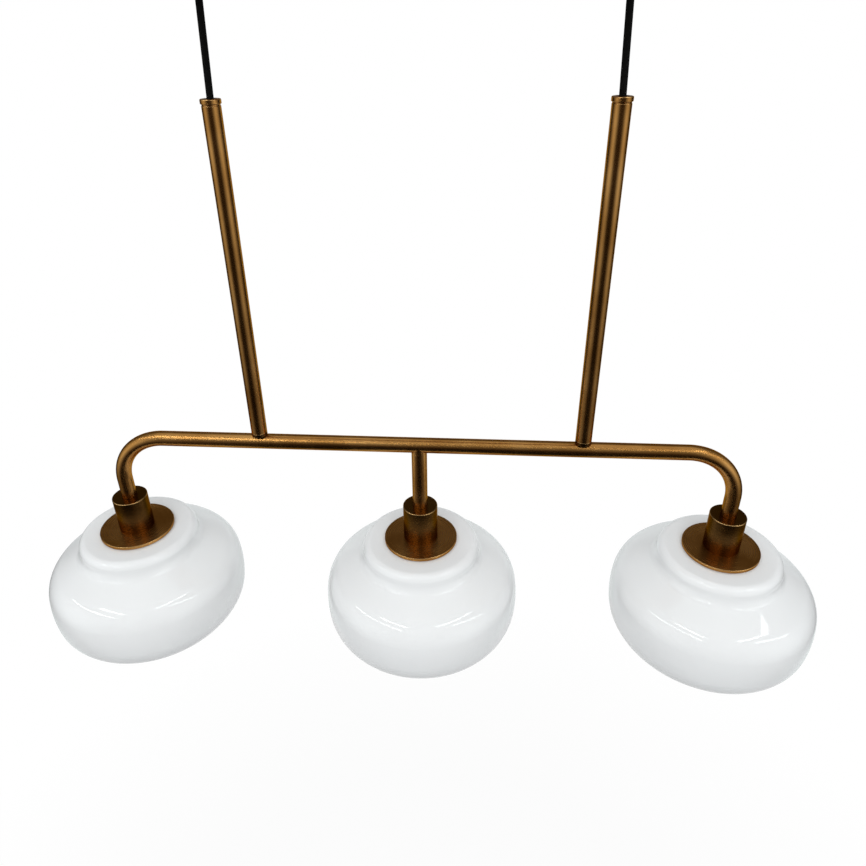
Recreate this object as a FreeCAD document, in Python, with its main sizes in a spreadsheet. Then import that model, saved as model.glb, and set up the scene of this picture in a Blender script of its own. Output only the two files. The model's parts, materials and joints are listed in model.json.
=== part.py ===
"""Linear island pendant: three opal glass shades under one bent brass tube, hung by two cords.

Millimetres, +Z up, +X along the bar. The origin is the middle of the ceiling face of the canopy.
The canopy pieces are drawn from the ceiling down. The frame and lamp pieces are drawn from the
axis of the bar, which hangs at bar_height, and each lamp piece is placed on its lamp's own axis.
"""

import FreeCAD, Part
import enum
import math
import operator
import os

import Sketcher

# Driving dimensions.
DIMENSIONS = {
    # canopy against the ceiling
    "canopy_width": 116.0,
    "canopy_depth": 26.0,
    "canopy_sheet": 1.2,
    "canopy_edge": 4.0,
    "canopy_beyond_stud": 23.0,
    # steel strap that carries it, and the screws of the ceiling box
    "strap_beyond_stud": 10.0,
    "strap_width": 25.0,
    "strap_thickness": 3.0,
    "box_pitch": 88.9,
    "box_slot_width": 4.8,
    "box_slot_length": 12.0,
    "stud_beyond_grip": 19.0,
    "stud_diameter": 4.0,
    "stud_engagement": 6.0,
    "cap_nut_diameter": 12.0,
    "cap_nut_height": 9.0,
    "ground_screw_place": 18.0,
    "ground_screw_diameter": 4.0,
    "ground_head_diameter": 8.0,
    "ground_head_height": 2.5,
    # cord grips under the canopy, each with a ball on the cord's end
    "exit_spacing": 306.0,
    "pivot_drop": 5.0,
    "ball_diameter": 13.0,
    "grip_diameter": 21.0,
    "grip_neck_diameter": 16.0,
    "grip_neck_rise": 8.0,
    "grip_flange": 2.0,
    "grip_skirt_diameter": 17.4,
    "grip_skirt_length": 4.0,
    "grip_cap_length": 8.5,
    "grip_mouth_diameter": 10.4,
    "grip_flare": 0.9,
    "grip_nut_flats": 20.0,
    "grip_nut_height": 3.0,
    # cords
    "cord_diameter": 5.5,
    "cord_drop": 79.0,
    "lead_diameter": 4.8,
    "lead_level": 12.0,
    "lead_bend": 8.0,
    "connector_diameter": 12.0,
    "connector_tip_diameter": 8.0,
    "connector_length": 22.0,
    "connector_gap": 8.0,
    # brass tubes
    "tube_diameter": 15.2,
    "tube_wall": 1.1,
    "stem_spacing": 312.0,
    "stem_rise": 310.0,
    "lamp_spacing": 305.0,
    "bend_radius": 50.0,
    "wire_hole_diameter": 8.0,
    # caps and bushes on the stems
    "stem_cap_diameter": 16.4,
    "stem_cap_height": 5.0,
    "stem_cap_neck": 1.0,
    "spigot_length": 8.0,
    "bush_diameter": 9.2,
    "bush_mouth_diameter": 7.6,
    "bush_mouth_depth": 2.6,
    "bush_pivot_depth": 1.5,
    # brass cup over each lampholder
    "cup_drop": 71.5,
    "cup_height": 39.0,
    "cup_diameter": 35.0,
    "cup_wall": 1.2,
    "cup_roof": 2.0,
    "cup_chamfer": 0.7,
    "nipple_diameter": 10.0,
    "nipple_bore": 7.0,
    "nipple_inset": 12.0,
    "nut_flats": 15.0,
    "nut_height": 4.0,
    # lampholder
    "holder_diameter": 32.0,
    "holder_neck_diameter": 18.0,
    "holder_neck_height": 4.0,
    "holder_engagement": 8.0,
    "holder_length": 61.0,
    "holder_mouth_chamfer": 0.8,
    "holder_floor_thickness": 5.0,
    "terminal_space_diameter": 22.0,
    "terminal_space_height": 17.0,
    "rivet_diameter": 3.4,
    "contact_diameter": 7.0,
    "contact_height": 4.2,
    "shell_diameter": 27.8,
    "shell_wall": 0.45,
    "shell_length": 26.0,
    # disc, washer, ring
    "disc_diameter": 75.0,
    "disc_thickness": 3.2,
    "disc_chamfer": 0.4,
    "washer_diameter": 62.0,
    "washer_thickness": 0.8,
    "ring_diameter": 50.0,
    "ring_flange": 2.0,
    "ring_hub_diameter": 39.0,
    "ring_height": 7.0,
    # glass shade, its heights measured down from the glass top
    "glass_thickness": 3.6,
    "glass_hole_diameter": 35.0,
    "collar_diameter": 121.0,
    "lip_radius": 8.0,
    "neck_radius": 12.0,
    "neck_slope": 60.0,
    "shoulder_radius": 33.0,
    "shoulder_angle": 8.0,
    "side_radius": 110.0,
    "shade_diameter": 203.4,
    "widest_drop": 70.0,
    "base_radius": 38.0,
    "base_angle": 7.0,
    "mouth_angle": 78.0,
    # bulb
    "bulb_diameter": 60.0,
    "bulb_length": 108.0,
    "bulb_neck_diameter": 24.8,
    "bulb_neck_run": 3.5,
    "bulb_glass_wall": 1.0,
    "bulb_cap_diameter": 26.4,
    "bulb_cap_length": 25.0,
    "bulb_cap_taper": 3.0,
    "bulb_tip_diameter": 9.0,
    "bulb_tip_height": 0.8,
    "bulb_glue_depth": 9.0,
    # clearances
    "running_clearance": 0.3,
    "fit_clearance": 0.05,
    "screw_clearance": 0.1,
    "solder_gap": 0.03,
}

SHEET_NAME = "Dims"
SIDES = {"left": -1, "right": 1}
LAMPS = {"left": -1, "centre": 0, "right": 1}


class Size:
    """A length or an angle together with the sheet formula that gives it."""

    def __init__(self, value, text):
        self.value = value
        self.text = text

    @staticmethod
    def of(other):
        """The other as a Size: a plain number is its own formula."""
        return other if isinstance(other, Size) else Size(float(other), repr(float(other)))

    @staticmethod
    def join(a, sign, b):
        a, b = Size.of(a), Size.of(b)
        step = {"+": operator.add, "-": operator.sub, "*": operator.mul, "/": operator.truediv}
        return Size(step[sign](a.value, b.value), f"({a.text} {sign} {b.text})")

    def __add__(self, other):
        return Size.join(self, "+", other)

    def __radd__(self, other):
        return Size.join(other, "+", self)

    def __sub__(self, other):
        return Size.join(self, "-", other)

    def __rsub__(self, other):
        return Size.join(other, "-", self)

    def __mul__(self, other):
        return Size.join(self, "*", other)

    def __rmul__(self, other):
        return Size.join(other, "*", self)

    def __truediv__(self, other):
        return Size.join(self, "/", other)

    def __neg__(self):
        return Size.join(-1, "*", self)


def cosine(angle):
    """The cosine of an angle in degrees, which is also what the sheet's formulas take."""
    return Size(math.cos(math.radians(angle.value)), f"cos({angle.text})")


def sine(angle):
    return Size(math.sin(math.radians(angle.value)), f"sin({angle.text})")


def arctangent(ratio):
    return Size(math.degrees(math.atan(ratio.value)), f"atan({ratio.text})")


def arcsine(ratio):
    return Size(math.degrees(math.asin(ratio.value)), f"asin({ratio.text})")


def root(number):
    return Size(math.sqrt(number.value), f"sqrt({number.text})")


class Sizes:
    """The driving dimensions as attributes, each one bound to its cell of the sheet."""

    def __init__(self, document, table):
        sheet = document.addObject("Spreadsheet::Sheet", SHEET_NAME)
        for row, (alias, number) in enumerate(table.items(), start=1):
            sheet.set(f"A{row}", alias)
            sheet.set(f"B{row}", str(number))
            sheet.setAlias(f"B{row}", alias)
            setattr(self, alias, Size(number, f"{SHEET_NAME}.{alias}"))


doc = FreeCAD.newDocument("IslandPendant")
dim = Sizes(doc, DIMENSIONS)
doc.recompute()
nodes = {}


# ---------------------------------------------------------------- drawing helpers

Axis = enum.IntEnum("Axis", "Y X", start=-2)
Spot = enum.IntEnum("Spot", "START END CENTRE")


class Arc:
    """Marks the edge from one corner to the next as an arc; turn is 1 anticlockwise, -1 clockwise."""

    def __init__(self, radius, turn):
        self.radius = Size.of(radius)
        self.turn = turn


def arc_geometry(start, end, arc):
    """The circle's arc of under half a turn that runs from start to end."""
    half = (end - start) / 2
    across = FreeCAD.Vector(-half.y, half.x, 0).normalize()
    height = math.sqrt(max(arc.radius.value**2 - half.Length**2, 0.0))
    middle = start + half + across * height * arc.turn
    first, last = (start, end) if arc.turn > 0 else (end, start)
    angles = [math.atan2(p.y - middle.y, p.x - middle.x) for p in (first, last)]
    circle = Part.Circle(middle, FreeCAD.Vector(0, 0, 1), arc.radius.value)
    return Part.ArcOfCircle(circle, angles[0], angles[1])


def bind(sketch, constraint, size):
    """Adds a constraint and ties its number to the sheet."""
    index = sketch.addConstraint(constraint)
    sketch.setExpression(f"Constraints[{index}]", size.text)


def lock(sketch, geometry, point, x, y):
    """Fixes a point of the sketch at a place that the sheet gives."""
    for kind, axis, size in (("DistanceX", Axis.Y, Size.of(x)), ("DistanceY", Axis.X, Size.of(y))):
        if size.value == 0:
            sketch.addConstraint(Sketcher.Constraint("PointOnObject", geometry, point, axis))
        else:
            from_origin = Sketcher.Constraint(kind, Axis.X, Spot.START, geometry, point, size.value)
            bind(sketch, from_origin, size)


def outline(sketch, steps, closed=True):
    """Draws corners (x, y), with an Arc between two corners where the edge is round."""
    corners, arcs = [], []
    for step in steps:
        if isinstance(step, Arc):
            arcs[-1] = step
        else:
            corners.append((Size.of(step[0]), Size.of(step[1])))
            arcs.append(None)
    spots = [FreeCAD.Vector(x.value, y.value, 0) for x, y in corners]
    count = len(corners) if closed else len(corners) - 1
    ends = []
    for i in range(count):
        a, b = spots[i], spots[(i + 1) % len(spots)]
        if arcs[i] is None:
            edge = sketch.addGeometry(Part.LineSegment(a, b), False)
            ends.append((edge, Spot.START, Spot.END))
        else:
            edge = sketch.addGeometry(arc_geometry(a, b, arcs[i]), False)
            forwards, backwards = (edge, Spot.START, Spot.END), (edge, Spot.END, Spot.START)
            ends.append(forwards if arcs[i].turn > 0 else backwards)
            bind(sketch, Sketcher.Constraint("Radius", edge, arcs[i].radius.value), arcs[i].radius)
    for i in range(count if closed else count - 1):
        edge, _, last = ends[i]
        following, first, _ = ends[(i + 1) % count]
        sketch.addConstraint(Sketcher.Constraint("Coincident", edge, last, following, first))
    for (edge, first, _), (x, y) in zip(ends, corners):
        lock(sketch, edge, first, x, y)
    if not closed:
        edge, _, last = ends[-1]
        lock(sketch, edge, last, *corners[-1])


def circle(sketch, radius, x=0, y=0):
    """Draws a circle whose centre and radius come from the sheet."""
    x, y = Size.of(x), Size.of(y)
    middle = FreeCAD.Vector(x.value, y.value, 0)
    shape = Part.Circle(middle, FreeCAD.Vector(0, 0, 1), radius.value)
    edge = sketch.addGeometry(shape, False)
    bind(sketch, Sketcher.Constraint("Radius", edge, radius.value), radius)
    lock(sketch, edge, Spot.CENTRE, x, y)


def obround_steps(length, width, x=0):
    """The corners of a slot with round ends, along X and centred at x."""
    straight, half = (length - width) / 2, width / 2
    round_end = Arc(half, 1)
    return [
        (x - straight, -half),
        (x + straight, -half),
        round_end,
        (x + length / 2, 0),
        round_end,
        (x + straight, half),
        (x - straight, half),
        round_end,
        (x - length / 2, 0),
        round_end,
    ]


def hexagon_steps(flats):
    """The six corners of a nut, from its width across flats."""
    corner, half = flats / math.sqrt(3), flats / 2
    return [
        (corner, 0),
        (corner / 2, half),
        (-corner / 2, half),
        (-corner, 0),
        (-corner / 2, -half),
        (corner / 2, -half),
    ]


# ---------------------------------------------------------------- piece helpers


def place(piece, x=0, z=0):
    """Puts a piece at x and z, tied to the sheet."""
    for axis, size in (("x", Size.of(x)), ("z", Size.of(z))):
        piece.setExpression(f"Placement.Base.{axis}", size.text)


def add_sketch(body, plane, name, x=0, z=0):
    """A sketch on one of the body's own planes, moved off it by x and z where that is asked."""
    sketch = body.newObject("Sketcher::SketchObject", name)
    support = next(f for f in body.Origin.OriginFeatures if f.Role == plane)
    sketch.AttachmentSupport = [(support, "")]
    sketch.MapMode = "FlatFace"
    for axis, size in (("x", Size.of(x)), ("z", Size.of(z))):
        if size.value != 0:
            sketch.setExpression(f"AttachmentOffset.Base.{axis}", size.text)
    return sketch


def new_body(name):
    body = doc.addObject("PartDesign::Body", name)
    body.Label = name
    return body


def revolved(name, steps, x=0, z=0, axis="V_Axis"):
    """A turned piece: its half section, drawn in the XZ plane, goes round the axis."""
    body = new_body(name)
    section = add_sketch(body, "XZ_Plane", "Section")
    outline(section, steps)
    turn = body.newObject("PartDesign::Revolution", "Turn")
    turn.Profile = section
    turn.ReferenceAxis = (section, [axis])
    turn.Angle = 360
    place(body, x, z)
    return body


def padded(name, draw, height, x=0, z=0, downwards=False):
    """A flat piece: what draw puts in the XY plane, raised or lowered by height."""
    body = new_body(name)
    face = add_sketch(body, "XY_Plane", "Face")
    draw(face)
    pad = body.newObject("PartDesign::Pad", "Pad")
    pad.Profile = face
    pad.Length = height.value
    pad.setExpression("Length", height.text)
    pad.Reversed = downwards
    place(body, x, z)
    return body


def pocketed(body, name, draw, depth, plane="XY_Plane", upwards=False, both_ways=False, z=0):
    """Cuts what draw puts on the plane, down into the body, up into it or both ways."""
    doc.recompute()
    before = body.Shape.Volume
    face = add_sketch(body, plane, name + "Face", z=z)
    draw(face)
    cut = body.newObject("PartDesign::Pocket", name)
    cut.Profile = face
    cut.Length = depth.value
    cut.setExpression("Length", depth.text)
    cut.Midplane = both_ways
    cut.Reversed = upwards
    doc.recompute()
    if body.Shape.Volume > before - 0.1:
        raise RuntimeError(f"{body.Label}: {name} cuts nothing")
    return cut


def filleted(body, name, radius, level):
    """Rounds every edge of the body's tip that lies wholly at one height."""
    doc.recompute()
    base = body.Tip
    edges = [
        f"Edge{i}"
        for i, edge in enumerate(base.Shape.Edges, start=1)
        if abs(edge.BoundBox.ZMin - level.value) < 1e-4 and abs(edge.BoundBox.ZMax - level.value) < 1e-4
    ]
    fillet = body.newObject("PartDesign::Fillet", name)
    fillet.Base = (base, edges)
    fillet.Radius = radius.value
    fillet.setExpression("Radius", radius.text)


def piped(name, steps, outer, inner=None, z=0):
    """A tube or a lead: a round section carried along a path in the XZ plane that starts upright."""
    body = new_body(name)
    path = add_sketch(body, "XZ_Plane", "Path")
    outline(path, steps, closed=False)
    section = add_sketch(body, "XY_Plane", "Section", x=steps[0][0], z=steps[0][1])
    circle(section, outer)
    if inner is not None:
        circle(section, inner)
    pipe = body.newObject("PartDesign::AdditivePipe", "Pipe")
    pipe.Profile = section
    pipe.Spine = (path, [f"Edge{i + 1}" for i in range(path.GeometryCount)])
    place(body, 0, z)
    return body


def rod(name, radius, height, x=0, z=0):
    """A plain round length, upright, from z upwards."""
    piece = doc.addObject("Part::Cylinder", name)
    piece.Label = name
    piece.setExpression("Radius", radius.text)
    piece.setExpression("Height", height.text)
    place(piece, x, z)
    return piece


def keep(name, piece):
    """Files a piece under its node's name."""
    nodes[name] = piece


def keep_group(name, pieces):
    """Files identical pieces as one node of separate solids."""
    group = doc.addObject("Part::Compound", name)
    group.Label = name
    group.Links = pieces
    nodes[name] = group


# ---------------------------------------------------------------- levels, lengths and radii

tube_radius = dim.tube_diameter / 2
tube_bore = tube_radius - dim.tube_wall
cord_radius = dim.cord_diameter / 2
lead_radius = dim.lead_diameter / 2
ball_radius = dim.ball_diameter / 2
socket_radius = ball_radius + dim.running_clearance

stud_pitch = dim.exit_spacing + 2 * dim.stud_beyond_grip
strap_length = stud_pitch + 2 * dim.strap_beyond_stud
canopy_length = stud_pitch + 2 * dim.canopy_beyond_stud

canopy_face = -dim.canopy_depth
pivot_height = canopy_face - dim.pivot_drop
cord_foot = pivot_height - dim.cord_drop
bar_height = cord_foot + dim.bush_pivot_depth - dim.stem_rise

cup_top = -dim.cup_drop
cup_ceiling = cup_top - dim.cup_roof
cup_rim = cup_top - dim.cup_height
disc_bottom = cup_rim - dim.disc_thickness
glass_top = disc_bottom - dim.washer_thickness
glass_seat = glass_top - dim.glass_thickness
nut_bottom = cup_ceiling - dim.nut_height
holder_top = nut_bottom - dim.screw_clearance
nipple_end = holder_top - dim.holder_engagement
holder_mouth = holder_top - dim.holder_length
terminal_floor = nipple_end - dim.terminal_space_height
holder_floor = terminal_floor - dim.holder_floor_thickness
contact_tip = holder_floor - dim.contact_height
bulb_top = contact_tip - dim.running_clearance
bulb_bottom = bulb_top - dim.bulb_length
lead_end = nipple_end - dim.lead_diameter

lamp_places = {lamp: dim.lamp_spacing * side for lamp, side in LAMPS.items()}
stem_places = {side: dim.stem_spacing / 2 * sign for side, sign in SIDES.items()}
exit_places = {side: dim.exit_spacing / 2 * sign for side, sign in SIDES.items()}


# ---------------------------------------------------------------- canopy


def canopy_pan():
    """A drawn obround pan, open towards the ceiling, with holes for the two grips and two studs."""
    pan = padded(
        "canopy_pan",
        lambda face: outline(face, obround_steps(canopy_length, dim.canopy_width)),
        dim.canopy_depth,
        downwards=True,
    )
    filleted(pan, "OuterEdge", dim.canopy_edge, canopy_face)
    inner_length = canopy_length - 2 * dim.canopy_sheet
    inner_width = dim.canopy_width - 2 * dim.canopy_sheet
    inner_depth = dim.canopy_depth - dim.canopy_sheet
    pocketed(
        pan,
        "Hollow",
        lambda face: outline(face, obround_steps(inner_length, inner_width)),
        inner_depth,
    )
    filleted(pan, "InnerEdge", dim.canopy_edge - dim.canopy_sheet, -inner_depth)

    def holes(face):
        for sign in SIDES.values():
            neck = dim.grip_neck_diameter / 2 + dim.screw_clearance
            circle(face, neck, dim.exit_spacing / 2 * sign)
            circle(face, dim.stud_diameter / 2 + dim.screw_clearance, stud_pitch / 2 * sign)

    pocketed(pan, "Holes", holes, dim.canopy_depth + dim.canopy_sheet)
    return pan


def ceiling_crossbar():
    """The steel strap inside the canopy: two slots for the ceiling box, two holes for the studs."""

    def strap(face):
        outline(face, obround_steps(strap_length, dim.strap_width))
        for sign in SIDES.values():
            slot = obround_steps(dim.box_slot_length, dim.box_slot_width, dim.box_pitch / 2 * sign)
            outline(face, slot)
            circle(face, dim.stud_diameter / 2 + dim.fit_clearance, stud_pitch / 2 * sign)
        hole = dim.ground_screw_diameter / 2 + dim.fit_clearance
        circle(face, hole, dim.ground_screw_place)

    return padded("ceiling_crossbar", strap, dim.strap_thickness, downwards=True)


def ground_screw():
    """A pan-head screw through the strap, from below."""
    shank, head = dim.ground_screw_diameter / 2, dim.ground_head_diameter / 2
    strap_bottom = -dim.strap_thickness
    head_bottom = strap_bottom - dim.ground_head_height
    dome = dim.ground_head_height / 2
    steps = [
        (0, 0),
        (0, head_bottom),
        (head - dome, head_bottom),
        Arc(dome, 1),
        (head, head_bottom + dome),
        (head, strap_bottom),
        (shank, strap_bottom),
        (shank, 0),
    ]
    return revolved("ground_screw", steps, x=dim.ground_screw_place)


def cap_nut(name, x):
    """A turned cap nut with a domed end and a blind hole, under the canopy."""
    radius = dim.cap_nut_diameter / 2
    bore = dim.stud_diameter / 2 + dim.fit_clearance
    straight = dim.cap_nut_height - radius
    depth = dim.stud_engagement + dim.screw_clearance
    steps = [
        (bore, 0),
        (bore, -depth),
        (0, -depth),
        (0, -dim.cap_nut_height),
        Arc(radius, 1),
        (radius, -straight),
        (radius, 0),
    ]
    return revolved(name, steps, x=x, z=canopy_face)


def canopy_fasteners():
    """Two studs that hang from the strap, and the cap nuts that hold the canopy up on them."""
    studs, nuts = [], []
    for side, sign in SIDES.items():
        x = stud_pitch / 2 * sign
        length = dim.canopy_depth + dim.stud_engagement
        studs.append(rod(f"stud_{side}", dim.stud_diameter / 2, length, x=x, z=-length))
        nuts.append(cap_nut(f"cap_nut_{side}", x))
    keep_group("canopy_studs", studs)
    keep_group("cap_nuts", nuts)


def cord_grip(side):
    """The upper half of a grip: a threaded neck through the canopy, a flange and a hollow skirt."""
    neck, flange = dim.grip_neck_diameter / 2, dim.grip_diameter / 2
    skirt = dim.grip_skirt_diameter / 2
    flange_bottom = canopy_face - dim.grip_flange
    skirt_bottom = flange_bottom - dim.grip_skirt_length
    ceiling = pivot_height + socket_radius
    steps = [
        (cord_radius + dim.screw_clearance, canopy_face + dim.grip_neck_rise),
        (cord_radius + dim.screw_clearance, ceiling),
        (socket_radius, ceiling),
        (socket_radius, skirt_bottom),
        (skirt, skirt_bottom),
        (skirt, flange_bottom),
        (flange, flange_bottom),
        (flange, canopy_face),
        (neck, canopy_face),
        (neck, canopy_face + dim.grip_neck_rise),
    ]
    return revolved(f"cord_grip_{side}", steps, x=exit_places[side])


def grip_cap(side):
    """The lower half: a cap screwed on the skirt, with a round seat for the ball and a flared mouth."""
    outer, mouth = dim.grip_diameter / 2, dim.grip_mouth_diameter / 2
    thread = dim.grip_skirt_diameter / 2 + dim.fit_clearance
    top = canopy_face - dim.grip_flange
    ledge = top - dim.grip_skirt_length
    bottom = top - dim.grip_cap_length
    seat_drop = root(socket_radius * socket_radius - mouth * mouth)
    ledge_drop = pivot_height - ledge
    seat_top = root(socket_radius * socket_radius - ledge_drop * ledge_drop)
    steps = [
        (thread, top),
        (thread, ledge),
        (seat_top, ledge),
        Arc(socket_radius, -1),
        (mouth, pivot_height - seat_drop),
        (mouth + dim.grip_flare, bottom),
        (outer - dim.grip_flare, bottom),
        (outer, bottom + dim.grip_flare),
        (outer, top),
    ]
    return revolved(f"grip_cap_{side}", steps, x=exit_places[side])


def grip_nut(side):
    """A hex nut on the grip's neck, inside the canopy."""

    def face(sketch):
        outline(sketch, hexagon_steps(dim.grip_nut_flats))
        circle(sketch, dim.grip_neck_diameter / 2 + dim.fit_clearance)

    level = canopy_face + dim.canopy_sheet
    return padded(f"grip_nut_{side}", face, dim.grip_nut_height, x=exit_places[side], z=level)


def swivel_ball(side):
    """The nylon ball moulded on the end of a cord, which lets the cord hang straight."""
    steps = [
        (0, -ball_radius),
        Arc(ball_radius, 1),
        (ball_radius, 0),
        Arc(ball_radius, 1),
        (0, ball_radius),
    ]
    return revolved(f"swivel_ball_{side}", steps, x=exit_places[side], z=pivot_height)


def canopy_lead(side):
    """The cord's run inside the canopy: up out of the grip, over and along to its connector."""
    sign = SIDES[side]
    x = exit_places[side]
    level = -dim.lead_level
    steps = [
        (x, pivot_height + socket_radius),
        (x, level - dim.lead_bend),
        Arc(dim.lead_bend, sign),
        (x - dim.lead_bend * sign, level),
        ((dim.connector_gap + dim.connector_length) * sign, level),
    ]
    return piped(f"canopy_lead_{side}", steps, lead_radius)


def wire_connector(side):
    """A tapered twist-on connector at the end of a canopy lead."""
    sign = SIDES[side]
    near = dim.connector_gap * sign
    far = (dim.connector_gap + dim.connector_length) * sign
    steps = [
        (near, 0),
        (near, dim.connector_tip_diameter / 2),
        (far, dim.connector_diameter / 2),
        (far, 0),
    ]
    return revolved(f"wire_connector_{side}", steps, z=-dim.lead_level, axis="H_Axis")


def canopy():
    keep("canopy_pan", canopy_pan())
    keep("ceiling_crossbar", ceiling_crossbar())
    keep("ground_screw", ground_screw())
    canopy_fasteners()
    for side in SIDES:
        keep(f"cord_grip_{side}", cord_grip(side))
        keep(f"grip_cap_{side}", grip_cap(side))
        keep(f"swivel_ball_{side}", swivel_ball(side))
        keep(f"canopy_lead_{side}", canopy_lead(side))
    keep_group("grip_nuts", [grip_nut(side) for side in SIDES])
    keep_group("wire_connectors", [wire_connector(side) for side in SIDES])


# ---------------------------------------------------------------- cords


def cord(side):
    """A taut cord from the bush in its stem up to the ball in its grip, drawn in a little on the way."""
    sign = SIDES[side]
    lean_in = (dim.stem_spacing - dim.exit_spacing) / 2
    slant = root(lean_in * lean_in + dim.cord_drop * dim.cord_drop)
    piece = rod(f"cord_{side}", cord_radius, slant - socket_radius, x=stem_places[side], z=cord_foot)
    piece.Placement.Rotation = FreeCAD.Rotation(FreeCAD.Vector(0, 1, 0), -sign)
    piece.setExpression("Placement.Rotation.Angle", arctangent(lean_in / dim.cord_drop).text)
    piece.Placement.Rotation.Axis = FreeCAD.Vector(0, -sign, 0)
    return piece


# ---------------------------------------------------------------- brass frame


def tube_face(sketch):
    """The section of the brass tube."""
    circle(sketch, tube_radius)
    circle(sketch, tube_bore)


def bar_tube():
    """One tube bent down at both ends, with a wire hole under each stem and over the centre drop."""
    end = dim.lamp_spacing
    steps = [
        (-end, cup_top),
        (-end, -dim.bend_radius),
        Arc(dim.bend_radius, -1),
        (-end + dim.bend_radius, 0),
        (end - dim.bend_radius, 0),
        Arc(dim.bend_radius, -1),
        (end, -dim.bend_radius),
        (end, cup_top),
    ]
    bar = piped("bar_tube", steps, tube_radius, tube_bore, z=bar_height)
    hole = dim.wire_hole_diameter / 2

    def stem_holes(face):
        for sign in SIDES.values():
            circle(face, hole, dim.stem_spacing / 2 * sign)

    pocketed(bar, "StemHoles", stem_holes, dim.tube_diameter, upwards=True)
    pocketed(bar, "DropHole", lambda face: circle(face, hole), dim.tube_diameter)
    return bar


def coped(tube):
    """Hollows the end of a tube where it saddles the bar."""
    saddle = tube_radius + dim.solder_gap
    width = dim.tube_diameter * 2
    pocketed(tube, "Saddle", lambda face: circle(face, saddle), width, plane="YZ_Plane", both_ways=True)
    return tube


def stem(side):
    """An upright tube, coped onto the top of the bar."""
    height = dim.stem_rise - dim.stem_cap_height
    return coped(padded(f"stem_{side}", tube_face, height, x=stem_places[side], z=bar_height))


def centre_drop():
    """The short tube under the middle of the bar, coped onto it."""
    return coped(padded("centre_drop", tube_face, dim.cup_drop, z=bar_height, downwards=True))


def stem_cap(side):
    """A turned cap on the stem's top: a rolled rim over a slim neck, and a spigot inside the tube."""
    rim = dim.stem_cap_diameter / 2
    bore = dim.bush_diameter / 2 + dim.fit_clearance
    spigot = tube_bore - dim.fit_clearance
    bottom = dim.stem_rise - dim.stem_cap_height
    round_off = (rim - tube_radius) * 2
    steps = [
        (bore, dim.stem_rise),
        (bore, bottom - dim.spigot_length),
        (spigot, bottom - dim.spigot_length),
        (spigot, bottom),
        (tube_radius, bottom),
        (tube_radius, bottom + dim.stem_cap_neck),
        (rim, bottom + dim.stem_cap_neck + (rim - tube_radius)),
        (rim, dim.stem_rise - round_off),
        Arc(round_off, 1),
        (rim - round_off, dim.stem_rise),
    ]
    return revolved(f"stem_cap_{side}", steps, x=stem_places[side], z=bar_height)


def cord_bush(side):
    """The black bush that grips the cord in the cap, with a wide mouth that lets the cord lean."""
    outer, mouth = dim.bush_diameter / 2, dim.bush_mouth_diameter / 2
    bore = cord_radius + dim.fit_clearance
    floor = dim.stem_rise - dim.bush_mouth_depth
    bottom = dim.stem_rise - dim.stem_cap_height - dim.spigot_length
    steps = [
        (mouth, dim.stem_rise),
        (mouth, floor),
        (bore, floor),
        (bore, bottom),
        (outer, bottom),
        (outer, dim.stem_rise),
    ]
    return revolved(f"cord_bush_{side}", steps, x=stem_places[side], z=bar_height)


def stem_lead(side):
    """The cord's run inside a stem, from the bush down to the lead in the bar."""
    foot = lead_radius + dim.running_clearance
    height = dim.stem_rise - dim.bush_mouth_depth - foot
    return rod(f"stem_lead_{side}", cord_radius, height, x=stem_places[side], z=bar_height + foot)


def bar_lead():
    """The lead that runs through the bar to the two end lampholders."""
    end = dim.lamp_spacing
    steps = [
        (-end, lead_end),
        (-end, -dim.bend_radius),
        Arc(dim.bend_radius, -1),
        (-end + dim.bend_radius, 0),
        (end - dim.bend_radius, 0),
        Arc(dim.bend_radius, -1),
        (end, -dim.bend_radius),
        (end, lead_end),
    ]
    return piped("bar_lead", steps, lead_radius, z=bar_height)


def drop_lead():
    """The branch of the lead that goes down to the middle lampholder."""
    top = -lead_radius - dim.running_clearance
    return rod("drop_lead", lead_radius, top - lead_end, z=bar_height + lead_end)


def frame():
    keep("bar_tube", bar_tube())
    keep("centre_drop", centre_drop())
    keep("bar_lead", bar_lead())
    keep("drop_lead", drop_lead())
    for side in SIDES:
        keep(f"stem_{side}", stem(side))
        keep(f"stem_cap_{side}", stem_cap(side))
        keep(f"cord_bush_{side}", cord_bush(side))
        keep(f"stem_lead_{side}", stem_lead(side))
        keep(f"cord_{side}", cord(side))


# ---------------------------------------------------------------- lamps


def lamp_part(name, lamp, steps):
    """A turned piece on a lamp's own axis."""
    return revolved(f"{name}_{lamp}", steps, x=lamp_places[lamp], z=bar_height)


def threaded_nipple(lamp):
    """Steel nipple brazed in the tube's end; its thread carries the cup and the lampholder."""
    inset, thread = tube_bore - dim.fit_clearance, dim.nipple_diameter / 2
    bore = dim.nipple_bore / 2
    steps = [
        (bore, cup_top + dim.nipple_inset),
        (bore, nipple_end),
        (thread, nipple_end),
        (thread, cup_top),
        (inset, cup_top),
        (inset, cup_top + dim.nipple_inset),
    ]
    return lamp_part("threaded_nipple", lamp, steps)


def lock_nut(lamp):
    """A hex nut that clamps the cup's roof against the tube's end."""

    def face(sketch):
        outline(sketch, hexagon_steps(dim.nut_flats))
        circle(sketch, dim.nipple_diameter / 2 + dim.fit_clearance)

    level = bar_height + nut_bottom
    return padded(f"lock_nut_{lamp}", face, dim.nut_height, x=lamp_places[lamp], z=level)


def socket_cup(lamp):
    """The brass cup: a plain cylinder with a flat roof and a bright chamfer round its top."""
    outer = dim.cup_diameter / 2
    inner = outer - dim.cup_wall
    hole = dim.nipple_diameter / 2 + dim.screw_clearance
    steps = [
        (hole, cup_top),
        (hole, cup_ceiling),
        (inner, cup_ceiling),
        (inner, cup_rim),
        (outer, cup_rim),
        (outer, cup_top - dim.cup_chamfer),
        (outer - dim.cup_chamfer, cup_top),
    ]
    return lamp_part("socket_cup", lamp, steps)


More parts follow.
